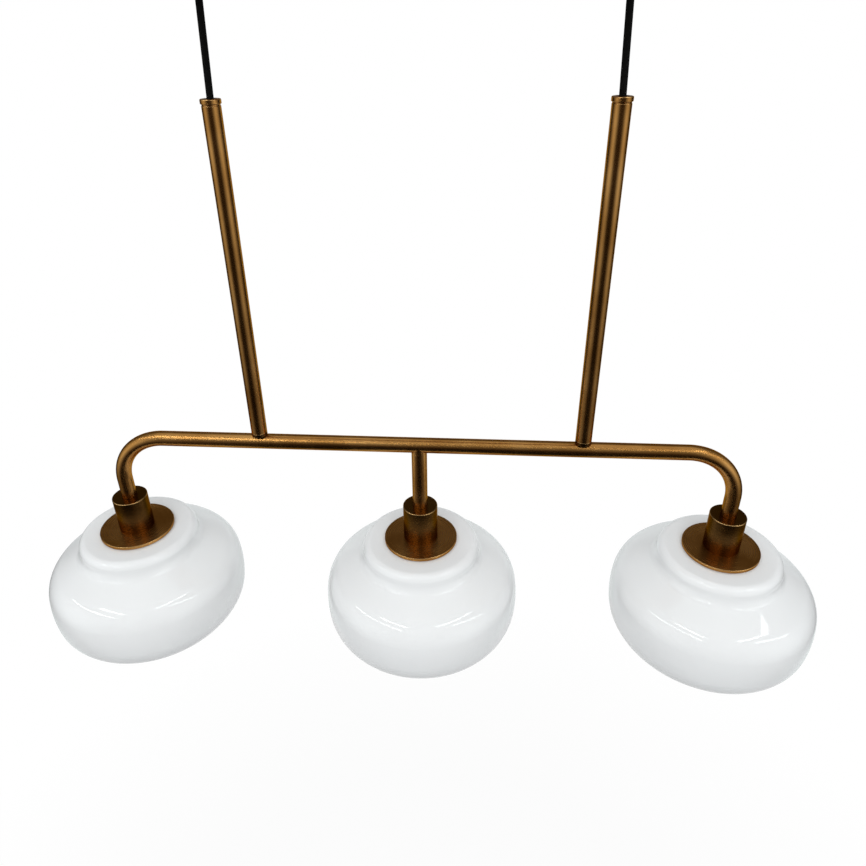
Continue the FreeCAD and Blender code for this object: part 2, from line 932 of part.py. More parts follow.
def lampholder(lamp):
    """Phenolic lampholder: threaded neck above, space for the terminals, open socket below."""
    outer, neck = dim.holder_diameter / 2, dim.holder_neck_diameter / 2
    thread = dim.nipple_diameter / 2 + dim.fit_clearance
    space = dim.terminal_space_diameter / 2
    rivet = dim.rivet_diameter / 2 + dim.fit_clearance
    socket = dim.shell_diameter / 2 + dim.fit_clearance
    shoulder = holder_top - dim.holder_neck_height
    chamfer = dim.holder_mouth_chamfer
    steps = [
        (thread, holder_top),
        (thread, nipple_end),
        (space, nipple_end),
        (space, terminal_floor),
        (rivet, terminal_floor),
        (rivet, holder_floor),
        (socket, holder_floor),
        (socket, holder_mouth),
        (outer - chamfer, holder_mouth),
        (outer, holder_mouth + chamfer),
        (outer, shoulder),
        (neck, shoulder),
        (neck, holder_top),
    ]
    return lamp_part("lampholder", lamp, steps)


def screw_shell(lamp):
    """The brass shell that the bulb screws into, with an inward lip against the holder's floor."""
    outer = dim.shell_diameter / 2
    inner = outer - dim.shell_wall
    lip = dim.contact_diameter / 2 + dim.contact_height / 2
    lip_bottom = holder_floor - dim.shell_wall
    bottom = holder_floor - dim.shell_length
    steps = [
        (lip, holder_floor),
        (lip, lip_bottom),
        (inner, lip_bottom),
        (inner, bottom),
        (outer, bottom),
        (outer, holder_floor),
    ]
    return lamp_part("screw_shell", lamp, steps)


def centre_contact(lamp):
    """The rivet and sprung contact in the middle of the holder's floor."""
    rivet, wide = dim.rivet_diameter / 2, dim.contact_diameter / 2
    step = holder_floor - dim.contact_height / 4
    steps = [
        (0, terminal_floor),
        (0, contact_tip),
        (rivet, contact_tip),
        (wide, step),
        (wide, holder_floor),
        (rivet, holder_floor),
        (rivet, terminal_floor),
    ]
    return lamp_part("centre_contact", lamp, steps)


def shade_disc(lamp):
    """The flat brass disc between the cup and the glass."""
    outer, chamfer = dim.disc_diameter / 2, dim.disc_chamfer
    hole = dim.holder_diameter / 2 + dim.running_clearance
    steps = [
        (hole, cup_rim),
        (hole, disc_bottom),
        (outer - chamfer, disc_bottom),
        (outer, disc_bottom + chamfer),
        (outer, cup_rim - chamfer),
        (outer - chamfer, cup_rim),
    ]
    return lamp_part("shade_disc", lamp, steps)


def shade_washer(lamp):
    """A soft washer that keeps the disc off the glass."""
    outer = dim.washer_diameter / 2
    hole = dim.holder_diameter / 2 + dim.running_clearance
    steps = [(hole, disc_bottom), (hole, glass_top), (outer, glass_top), (outer, disc_bottom)]
    return lamp_part("shade_washer", lamp, steps)


def shade_ring(lamp):
    """The ring on the holder's thread that clamps the glass up against the disc."""
    flange, hub = dim.ring_diameter / 2, dim.ring_hub_diameter / 2
    thread = dim.holder_diameter / 2 + dim.running_clearance
    flange_bottom = glass_seat - dim.ring_flange
    bottom = glass_seat - dim.ring_height
    steps = [
        (thread, glass_seat),
        (thread, bottom),
        (hub, bottom),
        (hub, flange_bottom),
        (flange, flange_bottom),
        (flange, glass_seat),
    ]
    return lamp_part("shade_ring", lamp, steps)


def shade_glass(lamp):
    """The blown opal glass, one wall of even thickness.

    From the hole outwards: a flat collar with a rounded lip, a hollow neck, a slope, a shoulder,
    a nearly upright side, and a base drawn in to an open mouth with a fire-polished rim. Each round
    stretch is an arc that runs on smoothly into the next, and the inside shares the arcs' centres.
    """
    wall = dim.glass_thickness
    hole, collar = dim.glass_hole_diameter / 2, dim.collar_diameter / 2
    slope_cos, slope_sin = cosine(dim.neck_slope), sine(dim.neck_slope)
    shoulder_cos, shoulder_sin = cosine(dim.shoulder_angle), sine(dim.shoulder_angle)
    base_cos, base_sin = cosine(dim.base_angle), sine(dim.base_angle)
    mouth_cos, mouth_sin = cosine(dim.mouth_angle), sine(dim.mouth_angle)

    side_x, side_z = dim.shade_diameter / 2 - dim.side_radius, glass_top - dim.widest_drop
    to_shoulder = dim.side_radius - dim.shoulder_radius
    shoulder_x, shoulder_z = side_x + to_shoulder * shoulder_cos, side_z + to_shoulder * shoulder_sin
    to_base = dim.side_radius - dim.base_radius
    base_x, base_z = side_x + to_base * base_cos, side_z - to_base * base_sin

    slope_x = shoulder_x + dim.shoulder_radius * slope_cos
    slope_z = shoulder_z + dim.shoulder_radius * slope_sin
    neck_x = collar + dim.neck_radius
    foot_x = neck_x - dim.neck_radius * slope_cos
    foot_z = slope_z + (slope_x - foot_x) * slope_cos / slope_sin
    neck_z = foot_z + dim.neck_radius * slope_sin

    def on_side(inset, cos, sin):
        reach = dim.side_radius - inset
        return (side_x + reach * cos, side_z + reach * sin)

    def on_slope(inset):
        return (slope_x - inset * slope_cos, slope_z - inset * slope_sin)

    def on_foot(inset):
        return (foot_x - inset * slope_cos, foot_z - inset * slope_sin)

    def on_mouth(inset, beyond=0):
        reach = dim.base_radius - inset
        return (
            base_x + reach * mouth_cos - beyond * mouth_sin,
            base_z - reach * mouth_sin - beyond * mouth_cos,
        )

    rim = Arc(wall / 2, -1)
    steps = [
        (hole, glass_top),
        (collar - dim.lip_radius, glass_top),
        Arc(dim.lip_radius, -1),
        (collar, glass_top - dim.lip_radius),
        (collar, neck_z),
        Arc(dim.neck_radius, 1),
        on_foot(0),
        on_slope(0),
        Arc(dim.shoulder_radius, -1),
        on_side(0, shoulder_cos, shoulder_sin),
        Arc(dim.side_radius, -1),
        on_side(0, base_cos, -base_sin),
        Arc(dim.base_radius, -1),
        on_mouth(0),
        rim,
        on_mouth(wall / 2, beyond=wall / 2),
        rim,
        on_mouth(wall),
        Arc(dim.base_radius - wall, 1),
        on_side(wall, base_cos, -base_sin),
        Arc(dim.side_radius - wall, 1),
        on_side(wall, shoulder_cos, shoulder_sin),
        Arc(dim.shoulder_radius - wall, 1),
        on_slope(wall),
        on_foot(wall),
        Arc(dim.neck_radius + wall, -1),
        (collar - wall, neck_z),
        (collar - wall, glass_top - dim.lip_radius),
        Arc(dim.lip_radius - wall, 1),
        (collar - dim.lip_radius, glass_seat),
        (hole, glass_seat),
    ]
    return lamp_part("shade_glass", lamp, steps)


def bulb_cap(lamp):
    """The bulb's metal cap with its contact tip, hollowed for the neck of the glass."""
    outer, tip = dim.bulb_cap_diameter / 2, dim.bulb_tip_diameter / 2
    inner = dim.bulb_neck_diameter / 2 + dim.fit_clearance
    tip_bottom = bulb_top - dim.bulb_tip_height
    taper_bottom = tip_bottom - dim.bulb_cap_taper
    rim = bulb_top - dim.bulb_cap_length
    seat = rim + dim.bulb_glue_depth
    steps = [
        (0, bulb_top),
        (0, seat),
        (inner, seat),
        (inner, rim),
        (outer, rim),
        (outer, taper_bottom),
        (tip, tip_bottom),
        (tip, bulb_top),
    ]
    return lamp_part("bulb_cap", lamp, steps)


def bulb_glass(lamp):
    """The bulb's frosted envelope: a straight neck, a flare that runs on into a round end."""
    wall, radius = dim.bulb_glass_wall, dim.bulb_diameter / 2
    neck = dim.bulb_neck_diameter / 2
    ball = bulb_bottom + radius
    rim = bulb_top - dim.bulb_cap_length
    top = rim + dim.bulb_glue_depth - dim.fit_clearance
    rise = rim - dim.bulb_neck_run - ball
    flare = arcsine(radius / root(neck * neck + rise * rise)) - arctangent(neck / rise)
    flare_cos, flare_sin = cosine(flare), sine(flare)

    def flare_start(inset):
        rise = ((radius - inset) / flare_cos - (neck - inset)) * flare_cos / flare_sin
        return (neck - inset, ball + rise)

    def flare_end(inset):
        return ((radius - inset) * flare_cos, ball + (radius - inset) * flare_sin)

    steps = [
        (neck, top),
        (neck - wall, top),
        flare_start(wall),
        flare_end(wall),
        Arc(radius - wall, -1),
        (0, bulb_bottom + wall),
        (0, bulb_bottom),
        Arc(radius, 1),
        flare_end(0),
        flare_start(0),
    ]
    return lamp_part("bulb_glass", lamp, steps)


def lamps():
    parts = (socket_cup, lampholder, screw_shell, shade_disc, shade_washer, shade_glass, shade_ring)
    for lamp in LAMPS:
        for part in parts + (bulb_cap, bulb_glass):
            piece = part(lamp)
            keep(piece.Label, piece)
    keep_group("threaded_nipples", [threaded_nipple(lamp) for lamp in LAMPS])
    keep_group("lock_nuts", [lock_nut(lamp) for lamp in LAMPS])
    keep_group("centre_contacts", [centre_contact(lamp) for lamp in LAMPS])


# ---------------------------------------------------------------- checks and files


def check():
    """Stops if any object of the document failed, or any node's shape is null or not valid."""
    doc.recompute()
    for item in doc.Objects:
        if "Invalid" in item.State or "Error" in item.State:
            raise RuntimeError(f"{item.Label} failed: {item.State}")
    for name, piece in nodes.items():
        if piece.Shape.isNull() or not piece.Shape.isValid() or not piece.Shape.Solids:
            raise RuntimeError(f"{name} has no valid solid")


def write():
    os.makedirs("parts", exist_ok=True)
    for name, piece in sorted(nodes.items()):
        piece.Shape.exportStep(f"parts/{name}.step")
    print(len(nodes), "nodes; the bar's axis is at", round(bar_height.value, 3))


canopy()
frame()
lamps()
check()
write()
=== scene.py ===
"""Dresses the linear island pendant: antique brass tubes, opal glass bowls and black cords.

Metres, in the part's own frame: the origin is the middle of the ceiling face, +Z up, +X along the bar.
Sizes come from the boxes of the part's own nodes. Turned pieces and tubes are outlines with rounded
corners, carried round an axis or along a path, and each keeps the true normals of its outline.
"""

import json
import math

import bpy
import numpy as np
from mathutils import Matrix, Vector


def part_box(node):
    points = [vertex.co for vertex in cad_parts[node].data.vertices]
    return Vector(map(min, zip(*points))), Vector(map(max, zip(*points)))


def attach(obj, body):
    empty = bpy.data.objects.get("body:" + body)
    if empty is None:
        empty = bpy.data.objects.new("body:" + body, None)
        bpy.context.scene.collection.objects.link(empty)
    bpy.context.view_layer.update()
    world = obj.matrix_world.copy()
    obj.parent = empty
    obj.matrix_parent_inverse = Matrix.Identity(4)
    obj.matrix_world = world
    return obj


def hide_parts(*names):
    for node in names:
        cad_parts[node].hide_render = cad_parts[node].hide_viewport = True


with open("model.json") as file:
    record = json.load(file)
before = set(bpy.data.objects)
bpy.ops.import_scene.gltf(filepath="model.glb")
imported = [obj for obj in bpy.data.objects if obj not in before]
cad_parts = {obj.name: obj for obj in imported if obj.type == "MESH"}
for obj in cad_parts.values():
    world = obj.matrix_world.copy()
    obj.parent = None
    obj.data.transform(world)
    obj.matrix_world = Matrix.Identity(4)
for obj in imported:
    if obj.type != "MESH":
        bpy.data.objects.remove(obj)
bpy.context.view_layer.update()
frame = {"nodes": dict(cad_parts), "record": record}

MM = 0.001
TAU = 2 * math.pi
SIDES = ("left", "right")
LAMPS = ("left", "centre", "right")


def span(node):
    """The node's box at rest as arrays: lowest corner, highest corner."""
    low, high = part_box(node)
    return np.array(low), np.array(high)


def middle_x(node):
    """Where the node's middle lies along the bar."""
    low, high = span(node)
    return (low[0] + high[0]) / 2


def half_width(node):
    """Half of the node's width from front to back, which is a round piece's radius."""
    low, high = span(node)
    return (high[1] - low[1]) / 2


# ---------------------------------------------------------------- camera

CAMERA_PLACE = (0.04985, -0.56797, -0.05626)
CAMERA_YAW = -0.0777
CAMERA_PITCH = 0.5017
CAMERA_ROLL = 0.0147
IMAGE_WIDTH = 866
FOCAL_PIXELS = 696.88
MIDDLE_PIXEL = (424.21, 400.20)
SENSOR_WIDTH = 36.0


def make_camera():
    """The photo's view: yaw turns it to the right, pitch tips it down, roll turns it about its own line."""
    forward = np.array(
        [
            math.sin(CAMERA_YAW) * math.cos(CAMERA_PITCH),
            math.cos(CAMERA_YAW) * math.cos(CAMERA_PITCH),
            -math.sin(CAMERA_PITCH),
        ]
    )
    level_right = np.array([math.cos(CAMERA_YAW), -math.sin(CAMERA_YAW), 0.0])
    level_down = np.cross(forward, level_right)
    right = math.cos(CAMERA_ROLL) * level_right + math.sin(CAMERA_ROLL) * level_down
    down = -math.sin(CAMERA_ROLL) * level_right + math.cos(CAMERA_ROLL) * level_down
    turn = Matrix(np.stack([right, -down, -forward], axis=1).tolist())
    data = bpy.data.cameras.new("photo_camera")
    data.sensor_width = SENSOR_WIDTH
    data.lens = FOCAL_PIXELS * SENSOR_WIDTH / IMAGE_WIDTH
    data.shift_x = (IMAGE_WIDTH / 2 - MIDDLE_PIXEL[0]) / IMAGE_WIDTH
    data.shift_y = (MIDDLE_PIXEL[1] - IMAGE_WIDTH / 2) / IMAGE_WIDTH
    data.clip_start = 0.01
    data.clip_end = 60.0
    camera = bpy.data.objects.new("photo_camera", data)
    camera.matrix_world = Matrix.Translation(CAMERA_PLACE) @ turn.to_4x4()
    bpy.context.scene.collection.objects.link(camera)
    bpy.context.scene.camera = camera
    bpy.context.scene.view_settings.view_transform = "Standard"


# ---------------------------------------------------------------- shader arithmetic


class Value:
    """One output of a node. Arithmetic on it adds Math nodes to the same tree."""

    def __init__(self, finish, socket):
        self.finish = finish
        self.socket = socket

    def _math(self, operation, *operands):
        return self.finish.node("Math", {"operation": operation}, *operands)

    def __add__(self, other):
        return self._math("ADD", self, other)

    __radd__ = __add__

    def __sub__(self, other):
        return self._math("SUBTRACT", self, other)

    def __rsub__(self, other):
        return self._math("SUBTRACT", other, self)

    def __mul__(self, other):
        return self._math("MULTIPLY", self, other)

    __rmul__ = __mul__

    def __truediv__(self, other):
        return self._math("DIVIDE", self, other)

    def __pow__(self, other):
        return self._math("POWER", self, other)

    def sine(self):
        return self._math("SINE", self)

    def size(self):
        """The value without its sign."""
        return self._math("ABSOLUTE", self)

    def angle_from(self, other):
        """The angle whose tangent is this over the other, in half turns."""
        return self._math("ARCTAN2", self, other) / math.pi

    def above(self, low, high):
        """0 up to the low value, 1 from the high one, and a straight rise between them."""
        return ((self - low) / (high - low)).clamped()

    def clamped(self, low=0.0, high=1.0):
        return self._math("MINIMUM", self._math("MAXIMUM", self, low), high)


class Shader:
    """A node tree. Its method node() adds any node and fills its sockets with numbers or other outputs."""

    def __init__(self, owner, output):
        owner.use_nodes = True
        self.tree = owner.node_tree
        self.tree.nodes.clear()
        self.output = self.tree.nodes.new(output)

    def _fill(self, socket, value):
        if isinstance(value, Value):
            self.tree.links.new(value.socket, socket)
        elif hasattr(socket.default_value, "__len__") and len(value) == 3 and socket.type == "RGBA":
            socket.default_value = (*value, 1.0)
        else:
            socket.default_value = value

    def node(self, kind, settings=None, *inputs, out=0, **named):
        """A node of that kind. Settings come first, then sockets in order, then sockets by name."""
        node = self.tree.nodes.new("ShaderNode" + kind)
        for name, value in (settings or {}).items():
            setattr(node, name, value)
        for socket, value in zip(node.inputs, inputs):
            self._fill(socket, value)
        for name, value in named.items():
            self._fill(node.inputs[name.replace("_", " ")], value)
        return Value(self, node.outputs[out])

    def ramp(self, value, *stops):
        """Colours along a value: each stop is a place from 0 to 1 and a colour."""
        node = self.tree.nodes.new("ShaderNodeValToRGB")
        self._fill(node.inputs[0], value)
        elements = node.color_ramp.elements
        while len(elements) < len(stops):
            elements.new(0.5)
        for element, (place, colour) in zip(elements, stops):
            element.position = place
            element.color = (*colour, 1.0)
        return Value(self, node.outputs[0])

    def mix(self, factor, first, second):
        """Blends two colours by a factor. A Mix node's colours are its inputs 6 and 7 and its output 2."""
        node = self.tree.nodes.new("ShaderNodeMix")
        node.data_type = "RGBA"
        self._fill(node.inputs[0], factor)
        self._fill(node.inputs[6], first)
        self._fill(node.inputs[7], second)
        return Value(self, node.outputs[2])

    def noise(self, vector, scale, detail=2.0, roughness=0.5):
        """Soft noise from 0 to 1 with its middle near 0.5."""
        return self.node("TexNoise", None, Vector=vector, Scale=scale, Detail=detail, Roughness=roughness)

    def stretched(self, vector, scale):
        """The vector scaled along each axis."""
        return self.node("VectorMath", {"operation": "MULTIPLY"}, vector, scale)

    def bump(self, height, distance, strength):
        """A normal from a height that runs from 0 to 1 and stands for that distance in metres."""
        return self.node("Bump", None, Strength=strength, Distance=distance, Height=height)

    def surface(self, value):
        """Takes a node as the tree's surface."""
        self.tree.links.new(value.socket, self.output.inputs["Surface"])

    def split(self, vector):
        """A vector's three parts."""
        parts = self.node("SeparateXYZ", None, vector).socket.node.outputs
        return [Value(self, part) for part in parts]

    def seen_by(self, *rays):
        """1 for the kinds of ray that are named, such as Is Camera Ray, and 0 for the others."""
        path = self.tree.nodes.new("ShaderNodeLightPath")
        total = Value(self, path.outputs[rays[0]])
        for ray in rays[1:]:
            total = total + Value(self, path.outputs[ray])
        return total.clamped()

    def place(self):
        return self.node("TexCoord", None, out="Object")

    def uv(self):
        return self.node("TexCoord", None, out="UV")

    def turning(self):
        """Along the outline in metres, then the cosine and the sine of the angle round the piece's line."""
        return self.node("Attribute", {"attribute_name": "turning"}, out="Vector")

    def edge_wear_and_highlight(self):
        """1 on a piece's rounded edges, 0 on its faces: the mask for edge wear and a painted highlight."""
        return self.node("Attribute", {"attribute_name": "edge_wear_and_highlight"}, out="Fac")


class Finish(Shader):
    """A material with one surface."""

    def __init__(self, name):
        self.material = bpy.data.materials.new(name)
        super().__init__(self.material, "ShaderNodeOutputMaterial")

    def principled(self, **sockets):
        """The surface itself. Names are socket names with _ for a space."""
        self.surface(self.node("BsdfPrincipled", None, **sockets))
        return self.material


# ---------------------------------------------------------------- finishes

BRASS_TONES = (
    (0.36, (0.340, 0.150, 0.036)),
    (0.50, (0.430, 0.205, 0.057)),
    (0.64, (0.520, 0.265, 0.084)),
)
# Light brass for rubbed edges, which also paints a highlight along them.
BRASS_EDGE_WEAR_AND_HIGHLIGHT = (0.66, 0.40, 0.17)
BRASS_EDGE_TINT = (0.62, 0.44, 0.28)


def brass(name, lines, stretch, painted_shade_level=1.0):
    """Brass darkened by a bronze wash and rubbed back in fine lines, lighter on its rounded edges, which is
    partly wear and partly a painted highlight.

    The lines follow the vector that is given. Stretch is how far they draw a highlight out across them.
    A level below 1 darkens the whole brass as painted shade.
    """
    finish = Finish(name)
    tones = [(place, tuple(part * painted_shade_level for part in colour)) for place, colour in BRASS_TONES]
    wash = finish.noise(finish.place(), 26.0, detail=3.0)
    streaks = finish.noise(lines(finish), 1.0)
    body = finish.ramp(wash * 0.75 + streaks * 0.25, *tones)
    edge_wear_and_highlight = finish.edge_wear_and_highlight()
    return finish.principled(
        # Rounded edges turn towards the light brass: partly rubbed wear, partly a painted highlight.
        Base_Color=finish.mix(edge_wear_and_highlight * 0.6, body, BRASS_EDGE_WEAR_AND_HIGHLIGHT),
        Metallic=1.0,
        Roughness=0.22 + streaks * 0.05 + wash * 0.05 - edge_wear_and_highlight * 0.05,
        Normal=finish.bump(streaks, distance=0.000003, strength=0.5),
        Anisotropic=stretch,
        Anisotropic_Rotation=0.25,
        Specular_Tint=BRASS_EDGE_TINT,
    )


def round_lines(finish):
    """Lines that run round a turned piece."""
    return finish.stretched(finish.turning(), (1100.0, 2.0, 2.0))


def drawn_lines(finish):
    """Lines that run along a tube, as it was drawn."""
    return finish.stretched(finish.turning(), (14.0, 8.0, 8.0))


def long_lines(finish):
    """Lines that run along the canopy."""
    return finish.stretched(finish.place(), (14.0, 900.0, 900.0))


def opal_glass():
    """Milk-white glass: an even body that light enters a little, a wet surface and slow blown waves."""
    finish = Finish("opal_glass")
    place = finish.place()
    cloud = finish.noise(place, 9.0)
    waves = finish.noise(finish.stretched(place, (1.0, 1.0, 2.4)), 18.0, detail=1.0, roughness=0.4)
    return finish.principled(
        Base_Color=finish.mix(cloud, (0.865, 0.878, 0.874), (0.895, 0.902, 0.896)),
        Roughness=0.028 + waves * 0.02,
        IOR=1.5,
        Normal=finish.bump(waves, distance=0.0016, strength=0.20),
        Subsurface_Weight=0.35,
        Subsurface_Radius=(1.0, 1.0, 1.0),
        Subsurface_Scale=0.006,
    )


def braided_cord():
    """Black textile braid: two sets of yarns that cross, each a ridge that dips under the other."""
    finish = Finish("black_braid")
    along, around, _ = finish.split(finish.uv())
    yarns_round, yarns_along = 12.0, 46.0
    left = ((along * yarns_along + around * yarns_round) * TAU).sine()
    right = ((along * yarns_along - around * yarns_round) * TAU).sine()
    height = (left * right * 0.5 + 0.5).clamped()
    fuzz = finish.noise(finish.place(), 2600.0, roughness=0.6)
    dark, light = (0.001, 0.001, 0.001), (0.006, 0.0055, 0.005)
    return finish.principled(
        # The colour is darker where a yarn dips under the other: painted shade in the weave.
        Base_Color=finish.ramp(height * 0.7 + fuzz * 0.3, (0.2, dark), (0.9, light)),
        Roughness=0.7 + fuzz * 0.2,
        Normal=finish.bump(height * 0.8 + fuzz * 0.2, distance=0.00025, strength=0.8),
        Specular_IOR_Level=0.12,
    )


def moulded(name, dark, light, roughness, grain=900.0):
    """Moulded plastic or rubber: a fine even grain, with slightly uneven colour."""
    finish = Finish(name)
    cloud = finish.noise(finish.place(), 60.0, detail=3.0)
    pores = finish.noise(finish.place(), grain)
    return finish.principled(
        Base_Color=finish.mix(cloud, dark, light),
        Roughness=roughness + pores * 0.12 - 0.06,
        Normal=finish.bump(pores, distance=0.00003, strength=0.6),
    )


def plated(name, dark, light, roughness):
    """Plated metal: a bright skin with faint clouding and fine scratches."""
    finish = Finish(name)
    cloud = finish.noise(finish.place(), 90.0, detail=3.0, roughness=0.55)
    scratches = finish.noise(finish.stretched(finish.place(), (60.0, 1600.0, 700.0)), 1.0, roughness=0.6)
    return finish.principled(
        Base_Color=finish.mix(cloud, dark, light),
        Metallic=1.0,
        Roughness=roughness + scratches * 0.14 - 0.07,
        Normal=finish.bump(scratches, distance=0.00002, strength=0.5),
    )


def frosted_bulb():
    """Inside-frosted bulb glass, unlit: soft white with a smooth skin."""
    finish = Finish("frosted_bulb")
    cloud = finish.noise(finish.place(), 45.0)
    colour = finish.mix(cloud, (0.80, 0.80, 0.78), (0.87, 0.87, 0.85))
    return finish.principled(Base_Color=colour, Roughness=0.28 + cloud * 0.06, IOR=1.5)


def make_finishes():
    """Every material of the light, by the name of its slot in the record, and three kinds of its brass, one
    of them darkened as painted shade.
    """
    return {
        "brass": brass("turned_brass", round_lines, 0.72),
        "tube_brass": brass("drawn_brass", drawn_lines, 0.0),
        # Cups and stem collars get brass at 0.27 of the usual brightness: painted shade for the dark room
        # they mirror.
        "painted_shade_brass": brass("painted_shade_brass", round_lines, 0.3, painted_shade_level=0.27),
        "canopy_brass": brass("canopy_brass", long_lines, 0.0),
        "opal_glass": opal_glass(),
        "black_fabric": braided_cord(),
        "lead_sheath": moulded("lead_sheath", (0.010, 0.010, 0.010), (0.020, 0.020, 0.020), 0.55),
        "nylon": moulded("swivel_nylon", (0.012, 0.012, 0.012), (0.022, 0.022, 0.022), 0.38),
        "black_nylon": moulded("bush_nylon", (0.006, 0.006, 0.006), (0.014, 0.014, 0.014), 0.42),
        "zinc_steel": plated("zinc_steel", (0.46, 0.46, 0.44), (0.58, 0.58, 0.56), 0.34),
        "green_steel": plated("green_screw", (0.02, 0.16, 0.05), (0.04, 0.24, 0.08), 0.36),
        "connector_plastic": moulded("connector_plastic", (0.62, 0.22, 0.02), (0.72, 0.28, 0.03), 0.34),
        "contact_brass": plated("contact_brass", (0.60, 0.44, 0.17), (0.70, 0.53, 0.24), 0.28),
        "phenolic": moulded("phenolic", (0.010, 0.009, 0.009), (0.020, 0.018, 0.017), 0.30, grain=500.0),
        "washer_rubber": moulded("silicone_washer", (0.62, 0.62, 0.60), (0.70, 0.70, 0.68), 0.45),
        "bulb_glass": frosted_bulb(),
        "bulb_cap_metal": plated("nickel_cap", (0.60, 0.58, 0.54), (0.70, 0.68, 0.64), 0.24),
    }


# ---------------------------------------------------------------- outlines

ARC_STEP = 15.0


def rounded(corners):
    """An outline's points, normals and edge mask from its corners (across, up, radius).

    Each corner becomes an arc that touches both of its edges, and one with no radius stays sharp, with
    a point for each edge. A point's normal is square to the outline, to the left of its direction, and
    its edge mask, for wear and a painted highlight, is 1 within an arc and 0 on a straight edge.
    """
    places = np.array([corner[:2] for corner in corners], float)
    radii = [corner[2] if len(corner) > 2 else 0.0 for corner in corners]
    points, normals, edge_wear_and_highlight = [], [], []
    for i, radius in enumerate(radii):
        here = places[i]
        before = here - places[i - 1]
        after = places[(i + 1) % len(places)] - here
        a, b = before / np.linalg.norm(before), after / np.linalg.norm(after)
        turn = math.atan2(a[0] * b[1] - a[1] * b[0], a @ b)
        reach = radius * abs(math.tan(turn / 2))
        start = np.array([-a[1], a[0]])
        steps = max(2, math.ceil(abs(math.degrees(turn)) / ARC_STEP) + 1) if radius else 2
        angles = np.linspace(0.0, turn, steps)
        cos, sin = np.cos(angles), np.sin(angles)
        swung = np.stack([start[0] * cos - start[1] * sin, start[0] * sin + start[1] * cos], 1)
        centre = here - a * reach + start * radius * np.sign(turn)
        points.append(centre - swung * radius * np.sign(turn))
        normals.append(swung)
        edge_wear_and_highlight.append(np.where((angles == 0.0) | (angles == turn), 0.0, 1.0))
    return np.vstack(points), np.vstack(normals), np.concatenate(edge_wear_and_highlight)


def smooth_chain(*arcs):
    """Joins arcs (centre, radius, first angle, last angle, side, points) that run on into each other.

    Side is 1 where the outline's normal points away from the arc's centre and -1 where it points to it.
    """
    points, normals = [], []
    for number, (centre, radius, first, last, side, count) in enumerate(arcs):
        angles = np.radians(np.linspace(first, last, count))[1 if number else 0 :]
        ray = np.stack([np.cos(angles), np.sin(angles)], 1)
        points.append(np.array(centre) + ray * radius)
        normals.append(ray * side)
    return np.vstack(points), np.vstack(normals)


def subdivided(points, normals, edge_wear_and_highlight, longest):
    """Splits the outline's long straight stretches so that none is longer than that."""
    out_points, out_normals, out_wear = [], [], []
    for i in range(len(points)):
        j = (i + 1) % len(points)
        count = max(1, math.ceil(np.linalg.norm(points[j] - points[i]) / longest))
        share = np.arange(count)[:, None] / count
        out_points.append(points[i] + (points[j] - points[i]) * share)
        blended = normals[i] + (normals[j] - normals[i]) * share
        out_normals.append(blended / np.linalg.norm(blended, axis=1, keepdims=True))
        out_wear.append(edge_wear_and_highlight[i] + (edge_wear_and_highlight[j] - edge_wear_and_highlight[i]) * share[:, 0])
    return np.vstack(out_points), np.vstack(out_normals), np.concatenate(out_wear)


# ---------------------------------------------------------------- meshes


def build(name, points, normals, faces, turning=None, edge_wear_and_highlight=None):
    """A smooth mesh object at the origin, with its normals and the two attributes that finishes read."""
    mesh = bpy.data.meshes.new(name)
    mesh.from_pydata(points.tolist(), [], faces)
    mesh.polygons.foreach_set("use_smooth", np.ones(len(mesh.polygons), bool))
    if turning is not None:
        attribute = mesh.attributes.new("turning", "FLOAT_VECTOR", "POINT")
        attribute.data.foreach_set("vector", np.ascontiguousarray(turning, np.float32).ravel())
    if edge_wear_and_highlight is None:
        edge_wear_and_highlight = np.zeros(len(points))
    attribute = mesh.attributes.new("edge_wear_and_highlight", "FLOAT", "POINT")
    attribute.data.foreach_set("value", edge_wear_and_highlight.astype(np.float32))
    mesh.update()
    if normals is not None:
        mesh.normals_split_custom_set_from_vertices(normals.tolist())
    piece = bpy.data.objects.new(name, mesh)
    bpy.context.scene.collection.objects.link(piece)
    return piece


def quads(rows, columns, close_rows, flip):
    """The faces of a grid whose columns close on themselves, and its rows too where asked."""
    row = np.arange(rows if close_rows else rows - 1)[:, None]
    column = np.arange(columns)[None, :]
    a = row * columns + column
    b = row * columns + (column + 1) % columns
    c = ((row + 1) % rows) * columns + (column + 1) % columns
    d = ((row + 1) % rows) * columns + column
    faces = np.stack([a, b, c, d], -1).reshape(-1, 4)
    return (faces[:, ::-1] if flip else faces).tolist()


def facing(points, normals, rows, columns):
    """True where the faces of the grid have to be turned over to face the way that its normals do."""
    grid = points.reshape(rows, columns, 3)
    along_column = grid[:-1, 1:] - grid[:-1, :-1]
    along_row = grid[1:, :-1] - grid[:-1, :-1]
    outward = normals.reshape(rows, columns, 3)[:-1, :-1]
    return float((np.cross(along_column, along_row) * outward).sum()) < 0


